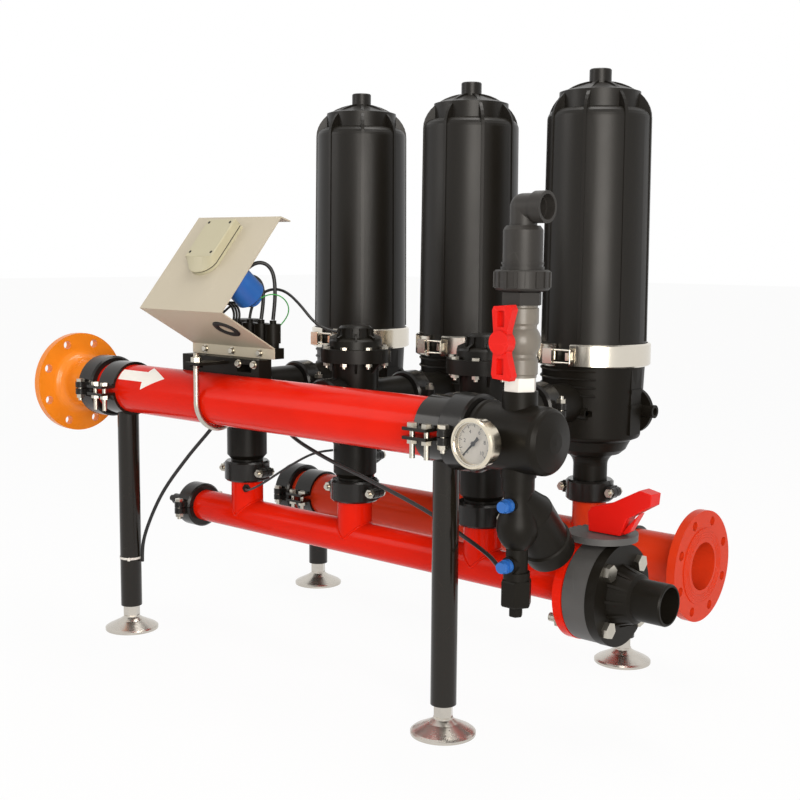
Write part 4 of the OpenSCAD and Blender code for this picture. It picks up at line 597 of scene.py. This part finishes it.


# %% [markdown]
# Thin black tubes carry water pressure from the strainer to the pilots and on to the valves. They are in
# the CAD too, as coarse tubes along the same points. Here each one becomes a round, eased tube whose far
# end goes back into the station.

# %% Control tubes
TUBES = {
    "strainer_tube": (8, [
        (542.9, 8, 322), (519.9, 16.4, 322), (470, 46, 334), (400, 56, 358), (300, 62, 392), (160, 66, 428),
        (20, 68, 462), (-80, 72, 500), (-130, 84, 560), (-146, 84, 612), (-150, 64, 632), (-150, 41.2, 634)]),
    "leg_tube": (8, [
        (-270, 41.2, 630), (-272, 64, 626), (-282, 82, 590), (-292, 84, 545), (-312, 76, 495),
        (-384, 52, 410), (-450, 30, 320), (-494, 14, 220), (-501, 12, 160)]),
    "near_loop": (8, [
        (-106, 57.5, 729.9), (-104, 62, 786), (-112, 60, 836), (-132, 40, 850), (-152, 16, 826),
        (-168, 2, 800), (-170, -20, 803), (-170, -38.7, 818.4)]),
    "far_loop": (8, [
        (-142, 57.5, 729.9), (-144, 66, 780), (-154, 62, 816), (-184, 34, 818), (-206, 10, 790),
        (-210, -16, 780), (-210, -47.7, 807.7)]),
    "valve_tube": (5, [
        (-30.6, 158, 455), (-60, 128, 448), (-120, 112, 414), (-190, 108, 372), (-250, 120, 346),
        (-300, 150, 336), (-315.4, 166.4, 335)]),
}
for name, (thick, points) in TUBES.items():
    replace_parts(add_cord(name, points, thick, tube_black), "control_tubes")

# %% [markdown]
# Pipe branches are welded on. A Boolean would leave an edge where two pipes meet, but an uneven one to
# lay a bead along. For two cylinders the line is known: go round the branch by angle, and its height over
# the run's axis is the square root of the run's radius squared less the side step squared.

# %% Weld beads
UNITS = (-342.0, 0.0, 342.0)
INLET_Y, INLET_Z = 0.0, 561.0
OUTLET_Y, OUTLET_Z = 572.0, 241.0
DRAIN_Y, DRAIN_Z = 193.0, 266.0
PIPE, BRANCH = 54.0, 36.5
LEAST_RISE, FLANGE_BEAD = 3.0, 3.4


def saddle(run, branch, count=160):
    """The line where a branch along Z meets a run along X, from both radii, with both axes at the origin.
    The height stays over a least rise, where branch and run are equally wide."""
    turn = np.linspace(0, 2 * np.pi, count, endpoint=False)
    rise = np.sqrt(np.maximum(run**2 - (branch * np.sin(turn))**2, LEAST_RISE**2))
    return np.stack([branch * np.cos(turn), branch * np.sin(turn), rise], -1)


def bead(line, size=2.6, ripples=70, depth=0.1):
    """A closed weld bead along a line: its radius is the size times one plus a sine of the ripples."""
    wave = size * (1 + depth * np.sin(np.linspace(0, 2 * np.pi * ripples, len(line), endpoint=False)))
    return skin(tube(line, wave, sides=8, loop=True, across=(0.05, 0.03, 1.0)), loop=True)


def collar(x, y, z, radius, rib, sides):
    """A closed ring: a circle of that radius about X, round which a tube of radius rib is carried."""
    turn = np.linspace(0, 2 * np.pi, 160, endpoint=False)
    circle = np.stack([np.full(len(turn), x), y + radius * np.cos(turn), z + radius * np.sin(turn)], -1)
    return skin(tube(circle, rib, sides=sides, loop=True, across=(1.0, 0.04, 0.03)), loop=True)


drain_welds = [bead(saddle(BRANCH, BRANCH) + (x, DRAIN_Y, DRAIN_Z)) for x in UNITS]
outlet_welds = [bead(saddle(PIPE, BRANCH) + (x, OUTLET_Y, OUTLET_Z)) for x in UNITS]
sideways = saddle(PIPE, BRANCH)[:, [0, 2, 1]] * (1, 1, -1)
inlet_welds = [bead(sideways + (x, INLET_Y, INLET_Z)) for x in UNITS]
drain_flange = collar(569, DRAIN_Y, DRAIN_Z, radius=37, rib=FLANGE_BEAD, sides=8)
outlet_flange = collar(597, OUTLET_Y, OUTLET_Z, radius=54.5, rib=FLANGE_BEAD, sides=8)
welds = drain_welds + outlet_welds + inlet_welds + [drain_flange, outlet_flange]
add_piece("weld_beads", welds, red_paint, sharp=80.0)

# %% [markdown]
# The outlet flange's face has fine raised rings that bite into its gasket. They could be bump only, but
# they catch the light from the side, so each is a thin closed ring of its own.

# %% Gasket rings
FLANGE_FACE, RING_RADII, RING_RIB = 618, (59, 64, 69, 74), 0.8
rings = [collar(FLANGE_FACE, OUTLET_Y, OUTLET_Z, radius, RING_RIB, 6) for radius in RING_RADII]
# The rings take the outlet's lighter copy of the red, which is painted warm light.
add_piece("gasket_rings", rings, warm_lit_outlet_red, sharp=80.0)

# %% [markdown]
# A rolled thread shows on the foot stems below the legs and on the near leg of the U-bolt. A true helix
# is a long sweep with awkward ends. At this size a row of round ridges at the thread's pitch looks the
# same and closes cleanly. The foot ridges ride on the feet, so they go down with them.

# %% Threads
LEGS = ((-528, 0), (407, 0), (-492, 572), (436, 572))


def thread(spot, radius, length, pitch, depth=0.35):
    """Ridges round Z from spot upwards: the radius of the crests less a cosine wave, one to a pitch, that
    goes depth times the pitch deep."""
    height = np.linspace(0, length, int(8 * length / pitch) + 1)
    ridge = radius - depth * (1 - np.cos(2 * np.pi * height / pitch)) / 2 * pitch
    return skin(turned(np.column_stack([ridge, height]), 24) + np.asarray(spot, float))


for number, (x, y) in enumerate(LEGS, 1):
    stem = thread((x, y, 26), radius=10.5, length=24, pitch=2.5)
    add_piece(f"stem_thread_{number}", [stem], foot_steel, f"levelling_foot_{number}")
u_thread = thread((-211, -60.2, 630), radius=6.2, length=32, pitch=1.75)
add_piece("u_bolt_thread", [u_thread], zinc)

# %% [markdown]
# The gauge has a pale dial with fifty steps over three quarters of a turn, and a zero at the lower left,
# where the pointer rests. An image could hold the print, but here the marks are thin flat bars laid on
# the dial, which stay sharp at any distance.

# %% Gauge dial and marks
DIAL = np.array([547.0, -98.0, INLET_Z])
DIAL_RADIUS, DIAL_THICK, DIAL_HOLE = 34.6, 0.25, 0.5
ZERO_TURN, SWEEP, STEPS, LONG_EVERY = 135, 270, 50, 5
MARK_RADIUS, MARK_LIFTS = 33.0, (0.26, 0.4)
LONG_MARK, SHORT_MARK = (6.0, 1.2), (3.2, 0.6)


def on_dial(radius, turn, lift):
    """A place on the dial: turn in degrees from the right, clockwise, and lift towards the reader."""
    turn = np.radians(turn)
    x, z = radius * np.cos(turn), -radius * np.sin(turn)
    return DIAL + np.stack([x, np.full(np.shape(turn), -lift), z], -1)


def mark(turn, long, wide):
    """A flat bar that ends at the marks' radius: wide degrees to each side of turn, at two lifts."""
    turns = turn + wide * np.array([-1, 1, 1, -1])
    radii = MARK_RADIUS - long * np.array([1, 1, 0, 0])
    return skin(np.stack([on_dial(radii, turns, lift) for lift in MARK_LIFTS]))


dial_white = finish_of("dial_white", (0.62, 0.57, 0.49), 0.5, gloss=0.3, patch=0.04, grain_scale=1500.0,
                       bump=0.005, dusty=0.0, scuffed=0.0)
dial_section = [(DIAL_HOLE, 0), (DIAL_RADIUS, 0), (DIAL_RADIUS, DIAL_THICK), (DIAL_HOLE, DIAL_THICK)]
dial_face = aimed(turned(dial_section, 64), DIAL, (0, -1, 0))
add_piece("gauge_dial", [skin(dial_face, loop=True)], dial_white)
marks = [mark(ZERO_TURN + SWEEP * k / STEPS, *(SHORT_MARK if k % LONG_EVERY else LONG_MARK))
         for k in range(STEPS + 1)]
add_piece("gauge_marks", marks, needle_black, sharp=20.0)

# %% [markdown]
# Plain numbers stand inside the long marks. Drawing digits by hand is slow work, and Blender's font makes
# them as flat text. The text becomes a mesh first, and then its points are stood up to face the reader.

# %% Gauge numbers
NUMBERS, NUMBER_STEP, NUMBER_SIZE, NUMBER_THICK = 6, 2, 9.0, 0.06
NUMBER_RADIUS, NUMBER_LIFT = 21.0, 0.36
STOOD_UP = np.array([[1, 0, 0], [0, 0, 1], [0, -1, 0]])
for k in range(NUMBERS):
    words = bpy.data.curves.new(f"number_{k}", "FONT")
    words.body = str(NUMBER_STEP * k)
    words.size = NUMBER_SIZE
    words.align_x = "CENTER"
    words.align_y = "CENTER"
    words.extrude = NUMBER_THICK
    shown = bpy.data.objects.new("number", words)
    flat = bpy.data.meshes.new_from_object(shown)
    spots = np.empty(3 * len(flat.vertices))
    flat.vertices.foreach_get("co", spots)
    middle = on_dial(NUMBER_RADIUS, ZERO_TURN + SWEEP * k / (NUMBERS - 1), NUMBER_LIFT)
    faces = [np.array([face.vertices[:]]) for face in flat.polygons]
    digits = (spots.reshape(-1, 3) @ STOOD_UP + middle, faces)
    add_piece(f"gauge_number_{k}", [digits], needle_black, sharp=20.0)
    bpy.data.meshes.remove(flat)
    bpy.data.objects.remove(shown)

# %% [markdown]
# The direction arrow is a sticker that wraps the inlet pipe. A flat arrow pressed on with a Shrinkwrap
# modifier would do, but the pipe is a plain cylinder. So the bar and the triangle are strips across the
# pipe whose half width changes along it, bent with the pipe's own radius.

# %% Direction arrow
ARROW_LEAN, ARROW_LIFT, ARROW_SUNK = 42.0, 0.3, 0.2
BAR_STATIONS, BAR_HALF = (-497, -460, -430, -411), 13.5
HEAD_FROM, HEAD_TO, HEAD_HALF, TIP_HALF, HEAD_ROWS = -411, -343, 31, 0.3, 12


def wrapped(stations, widths, across=13):
    """A strip round the inlet pipe from its stations along X and its half widths as arcs: the turn is the
    lean plus an arc over the radius. Its back lies in the paint and its face stands over it."""
    arcs = np.outer(widths, np.linspace(-1, 1, across))
    turn = np.radians(ARROW_LEAN) + arcs / PIPE
    along = np.outer(stations, np.ones(across))
    back, front = (np.stack([along, -radius * np.cos(turn), INLET_Z + radius * np.sin(turn)], -1)
                   for radius in (PIPE - ARROW_SUNK, PIPE + ARROW_LIFT))
    return np.concatenate([front, back[:, ::-1]], axis=1)


sticker_white = finish_of("sticker_white", (0.86, 0.84, 0.8), 0.35, gloss=0.3, patch=0.05,
                          grain_scale=1500.0, bump=0.01, dusty=0.05, scuffed=0.05)
bar = wrapped(BAR_STATIONS, [BAR_HALF] * len(BAR_STATIONS))
head = wrapped(np.linspace(HEAD_FROM, HEAD_TO, HEAD_ROWS), np.linspace(HEAD_HALF, TIP_HALF, HEAD_ROWS))
add_piece("flow_arrow", [skin(bar), skin(head)], sticker_white, sharp=30.0)

# %% [markdown]
# The drain valve's lever is a thick moulding with a trigger under the grip. It could be sculpted, but its
# side view says nearly all, so one outline gets the lever's width and a Bevel modifier rounds it. It
# turns with the valve, and its hub sits on the stem as the CAD lever does.

# %% Drain valve lever
LEVER_SEAT = (614, DRAIN_Y, 375.8)
REACH, RISE = 106, 88
LEVER_HALF, TRIGGER_HALF, LEVER_ROUND = 16, 9, 0.0022


def extruded(outline, half, spot):
    """An outline in X and Z, set half a width to each side along Y and moved to spot."""
    outline = np.asarray(outline, float)
    rows = [np.column_stack([outline[:, 0], np.full(len(outline), y), outline[:, 1]]) for y in (-half, half)]
    return skin(np.stack(rows) + np.asarray(spot, float))


grip_side = [(-20, 1), (-23, 36), (-14, 46), (22, 56), (REACH - 24, RISE), (REACH, RISE - 5),
             (REACH - 2, RISE - 26), (REACH - 14, RISE - 33), (58, 34), (44, 1)]
trigger_side = [(46, 6), (56, 20), (REACH - 26, RISE - 42), (REACH - 30, RISE - 50), (60, 10), (50, 3)]
lever_skins = [extruded(grip_side, LEVER_HALF, LEVER_SEAT), extruded(trigger_side, TRIGGER_HALF, LEVER_SEAT)]
lever = add_piece("lever", lever_skins, handle_red, "drain_valve", 20.0)
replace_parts(lever, "drain_valve_lever")
rounded = lever.modifiers.new("rounded", "BEVEL")
rounded.width = LEVER_ROUND
rounded.segments = 3
rounded.limit_method = "ANGLE"

# %% [markdown]
# The strainer swells into a bulb where its branch leaves, and its slanting end has a smooth screwed cap.
# A large hexagon with a small plug closes its foot. All of them are turned parts, so each is a profile
# of radius and height; with only six sides, a turned profile is a hexagon.

# %% Strainer bulb and caps
STRAINER_X, BRANCH_Z, SLANT = 565.0, 461.0, math.radians(48)
FOOT = np.array([STRAINER_X, 0.0, 0.0])
BULB = [(18, 476), (25, 474), (24.6, 452), (29, 436), (35, 420), (36.5, 406), (34, 392), (27, 379), (20, 372),
        (18, 370)]
CAP = [(30, 118), (44.3, 118.5), (47.6, 121), (47.6, 130), (45.8, 131.5), (45.8, 148), (44.4, 154), (38, 159),
       (5, 160), (0.5, 160)]
NUT = [(20, 316.8), (26.5, 316.8), (28, 314.5), (28, 274), (26, 271), (10, 270.5)]
PLUG = [(10, 272), (12.5, 271.5), (12.5, 254), (11, 252), (3, 252)]
add_piece("strainer_bulb", [skin(turned(BULB, 56) + FOOT)], base_black, sharp=60.0)
cap = aimed(turned(CAP, 64), (STRAINER_X, 0, BRANCH_Z), (0, math.cos(SLANT), -math.sin(SLANT)))
strainer_skins = [skin(cap), skin(turned(NUT, 6) + FOOT), skin(turned(PLUG, 6) + FOOT)]
caps = add_piece("strainer_ends", strainer_skins, base_black, sharp=28.0)
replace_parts(caps, "strainer_caps")

# %% [markdown]
# The control box lies on the cover's slanting panel. It could be modelled flat and turned as an object,
# but a finished piece stays unturned at the origin, so a function turns its points instead: up the panel
# and off it become Y and Z by the panel's tilt.

# %% The slanting panel
COVER_X, COVER_WIDE = -215.0, 260.0
FOLD, COVER_TOP, COVER_FOOT = np.array([-98.0, 751.0]), np.array([62.0, 940.0]), np.array([42.0, 672.0])
PANEL_FACE = 1.35
TILT = math.atan2(*(COVER_TOP - FOLD)[::-1])


def on_panel(points):
    """Points across, up and off the panel as workshop millimetres. Y is up times the tilt's cosine less
    off times its sine, and Z is up times the sine plus off times the cosine, all from the fold."""
    across, up, off = np.moveaxis(np.asarray(points, float), -1, 0)
    off = off + PANEL_FACE
    y = up * math.cos(TILT) - off * math.sin(TILT)
    z = up * math.sin(TILT) + off * math.cos(TILT)
    return np.array([COVER_X, *FOLD]) + np.stack([across, y, z], -1)


print("the panel leans at", round(math.degrees(TILT), 1), "degrees")

# %% [markdown]
# The box is a small moulding with a round chin. A rounded cube would miss the chin, so its outline is a
# rectangle closed by half an ellipse. Rings of that outline are stacked up from the panel, drawn in at
# the seam and cut straight at the face.

# %% Control box
BOX_AT = np.array([-8.0, 90.0, 0.0])
BOX_HALF, BOX_TALL, CHIN, BOX_DEEP = 42.0, 130.0, 32.0, 27.0
turn = np.linspace(0, np.pi, 25)
round_chin = np.column_stack([BOX_HALF * np.cos(turn), CHIN - CHIN * np.sin(turn)])
outline = np.vstack([[(-BOX_HALF, BOX_TALL), (BOX_HALF, BOX_TALL)], round_chin])
flat_chin = np.column_stack([outline[:, 0], np.maximum(outline[:, 1], CHIN - 4)])
centre = np.array([0.0, BOX_TALL / 2])


def box_ring(line, share, off):
    """An outline drawn in to a share of its size about the box's centre, at a height off the panel."""
    return np.column_stack([centre + (line - centre) * share, np.full(len(line), off)])


layers = [(outline, 1.0, 0.0), (outline, 1.0, 6.0), (outline, 0.96, 6.3), (outline, 0.96, 8.2),
          (outline, 1.0, 8.5), (outline, 1.0, 11.0), (flat_chin, 0.995, BOX_DEEP - 1.5),
          (flat_chin, 0.965, BOX_DEEP)]
stacked = np.stack([box_ring(*layer) for layer in layers])
box = add_piece("control_box", [skin(on_panel(stacked + BOX_AT))], ivory, sharp=24.0)
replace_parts(box, "controller_box")

# %% [markdown]
# A dark seal shows in the box's seam, and four screws sit near its corners. A dark line in the material
# would not follow the outline by itself, so the seal is a ring of the same outline, a little smaller,
# and the screws are short turned discs.

# %% Box seam and screws
SEAM_SHARE, SEAM_FROM, SEAM_TO = 0.985, 6.4, 8.1
DIMPLE = [(0.5, -1), (3.4, -1), (3.4, 0.3), (0.5, 0.3)]
seam = np.stack([box_ring(outline, SEAM_SHARE, off) for off in (SEAM_FROM, SEAM_TO)])
screw_spots = [(x, y, BOX_DEEP) for x in (-BOX_HALF + 9, BOX_HALF - 9) for y in (CHIN + 8, BOX_TALL - 10)]
dimples = [turned(DIMPLE, 16) + np.array(spot) for spot in screw_spots]
seam_skins = [skin(on_panel(shape + BOX_AT)) for shape in (seam, *dimples)]
add_piece("box_seam", seam_skins, seal_rubber, sharp=24.0)

# %% [markdown]
# Six screws hold the bracket and the cover's foot, and a rubber grommet sits on the cover's lower plate.
# A plain cylinder and a torus could stand for them, but a turned profile gives the washer under the head
# and the grommet's lip. The grommet's axis is worked out from the plate's fall, square to it.

# %% Bracket screws and grommet
SCREW = [(0.5, -1), (8.6, -1), (8.6, 1.2), (6.4, 1.2), (6.4, 6), (5.4, 6.8), (0.5, 6.8)]
bracket_spots = [(x, 6, 640) for x in (-291, -155, -108)]
cover_spots = [(COVER_X - COVER_WIDE / 2 + COVER_WIDE * (k + 0.5) / 3, 40.7, 661) for k in range(3)]
heads = [skin(aimed(turned(SCREW, 18), spot, (0, -1, 0))) for spot in bracket_spots + cover_spots]
add_piece("bracket_screws", heads, zinc, sharp=28.0)
GROMMET = [(17, 0), (30, 0), (30, 2.4), (27, 4), (20, 4), (17, 2.4)]
GROMMET_AT, GROMMET_OFF = np.array([-143.0, -35.0, 715.5]), 1.3
fall = (COVER_FOOT - FOLD) / math.hypot(*(COVER_FOOT - FOLD))
outward = np.array([0.0, fall[1], -fall[0]])
grommet = aimed(turned(GROMMET, 40), GROMMET_AT + GROMMET_OFF * outward, outward)
add_piece("grommet", [skin(grommet, loop=True)], seal_rubber, sharp=28.0)

# %% [markdown]
# Behind the cover a lead is wound up in a few loose turns, a pilot tube runs to the middle valve's
# bonnet, and a green earth wire joins the coil to the pilots. A simulation could let them hang, but leads
# this short, held at both ends, hardly sag. So they follow points, and the turns follow a helix.

# %% Leads behind the cover
COIL, COIL_RADIUS, COIL_PITCH = (-212, 16, 736), 28, 7.5
COIL_FROM, COIL_TURNS, COIL_STEP = 70, 3, 30
wind = np.radians(np.arange(COIL_FROM, COIL_FROM + 360 * COIL_TURNS + 1, COIL_STEP))
along = COIL[1] + COIL_PITCH * (wind - wind[0]) / (2 * np.pi)
turns = np.column_stack([COIL[0] + COIL_RADIUS * np.cos(wind), along, COIL[2] + COIL_RADIUS * np.sin(wind)])
lead_in = [(-117.5, 21.2, 767.6), (-124, 27, 760), (-150, 26, 757), (-180, 18, 766)]
lead_out = [(-228, 44, 752), (-250, 40, 735), (-262, 24, 712), (-264, 11, 691.4)]
add_cord("wound_lead", np.vstack([lead_in, turns, lead_out]), 5, tube_black)
pilot_points = [(-178, 57.5, 729.9), (-178, 66, 760), (-166, 92, 788), (-134, 112, 790), (-100, 126, 762),
                (-74, 142, 726), (-54, 156, 710), (-31, 172, 704)]
add_cord("pilot_tube", pilot_points, 6, tube_black)
wire_green = finish_of("wire_green", (0.03, 0.32, 0.05), 0.4, gloss=0.3, patch=0.1, grain_scale=1500.0,
                       bump=0.01)
earth_points = [(-110, 19, 771), (-98, 34, 784), (-84, 58, 782), (-78, 76, 762), (-84, 82, 742),
                (-94, 72, 722), (-97, 66, 716)]
add_cord("earth_wire", earth_points, 2.5, wire_green)

# %% [markdown]
# A small hexagon fitting takes the thin tube into a drain riser, and a cable tie holds another tube to
# the leg. Both are turned profiles again. The fitting stands out from the riser at half a right angle,
# as the tie's knob does from the leg.

# %% Tube fitting and cable tie
FITTING = [(3, -1), (9, -1), (9, 6), (6.2, 6.5), (6.2, 16), (7.2, 16.5), (7.2, 20), (3, 20)]
RISER_REACH, FITTING_Z, HALF_RIGHT = 25.8, 335, (1, -1, 0)
fitting_spot = (UNITS[0] + RISER_REACH, DRAIN_Y - RISER_REACH, FITTING_Z)
fitting = aimed(turned(FITTING, 6), fitting_spot, HALF_RIGHT)
add_piece("tube_fitting", [skin(fitting)], base_black, sharp=28.0)
TIE = [(24.2, 166), (25.2, 166), (25.2, 171), (24.2, 171)]
KNOB, KNOB_REACH, KNOB_Z = [(0.5, 0), (4, 0), (4, 6), (0.5, 6)], 17, 168.5
leg_x, leg_y = LEGS[0]
band = turned(TIE, 48) + np.array([leg_x, leg_y, 0.0])
knob = aimed(turned(KNOB, 8), (leg_x + KNOB_REACH, leg_y - KNOB_REACH, KNOB_Z), HALF_RIGHT)
add_piece("cable_tie", [skin(band, loop=True), skin(knob)], nylon_white, sharp=30.0)

# %% [markdown]
# The CAD nodes came with plain colours that nothing uses now, so those materials are removed.

# %% Remove unused materials
for finish in list(bpy.data.materials):
    if not finish.users:
        bpy.data.materials.remove(finish)
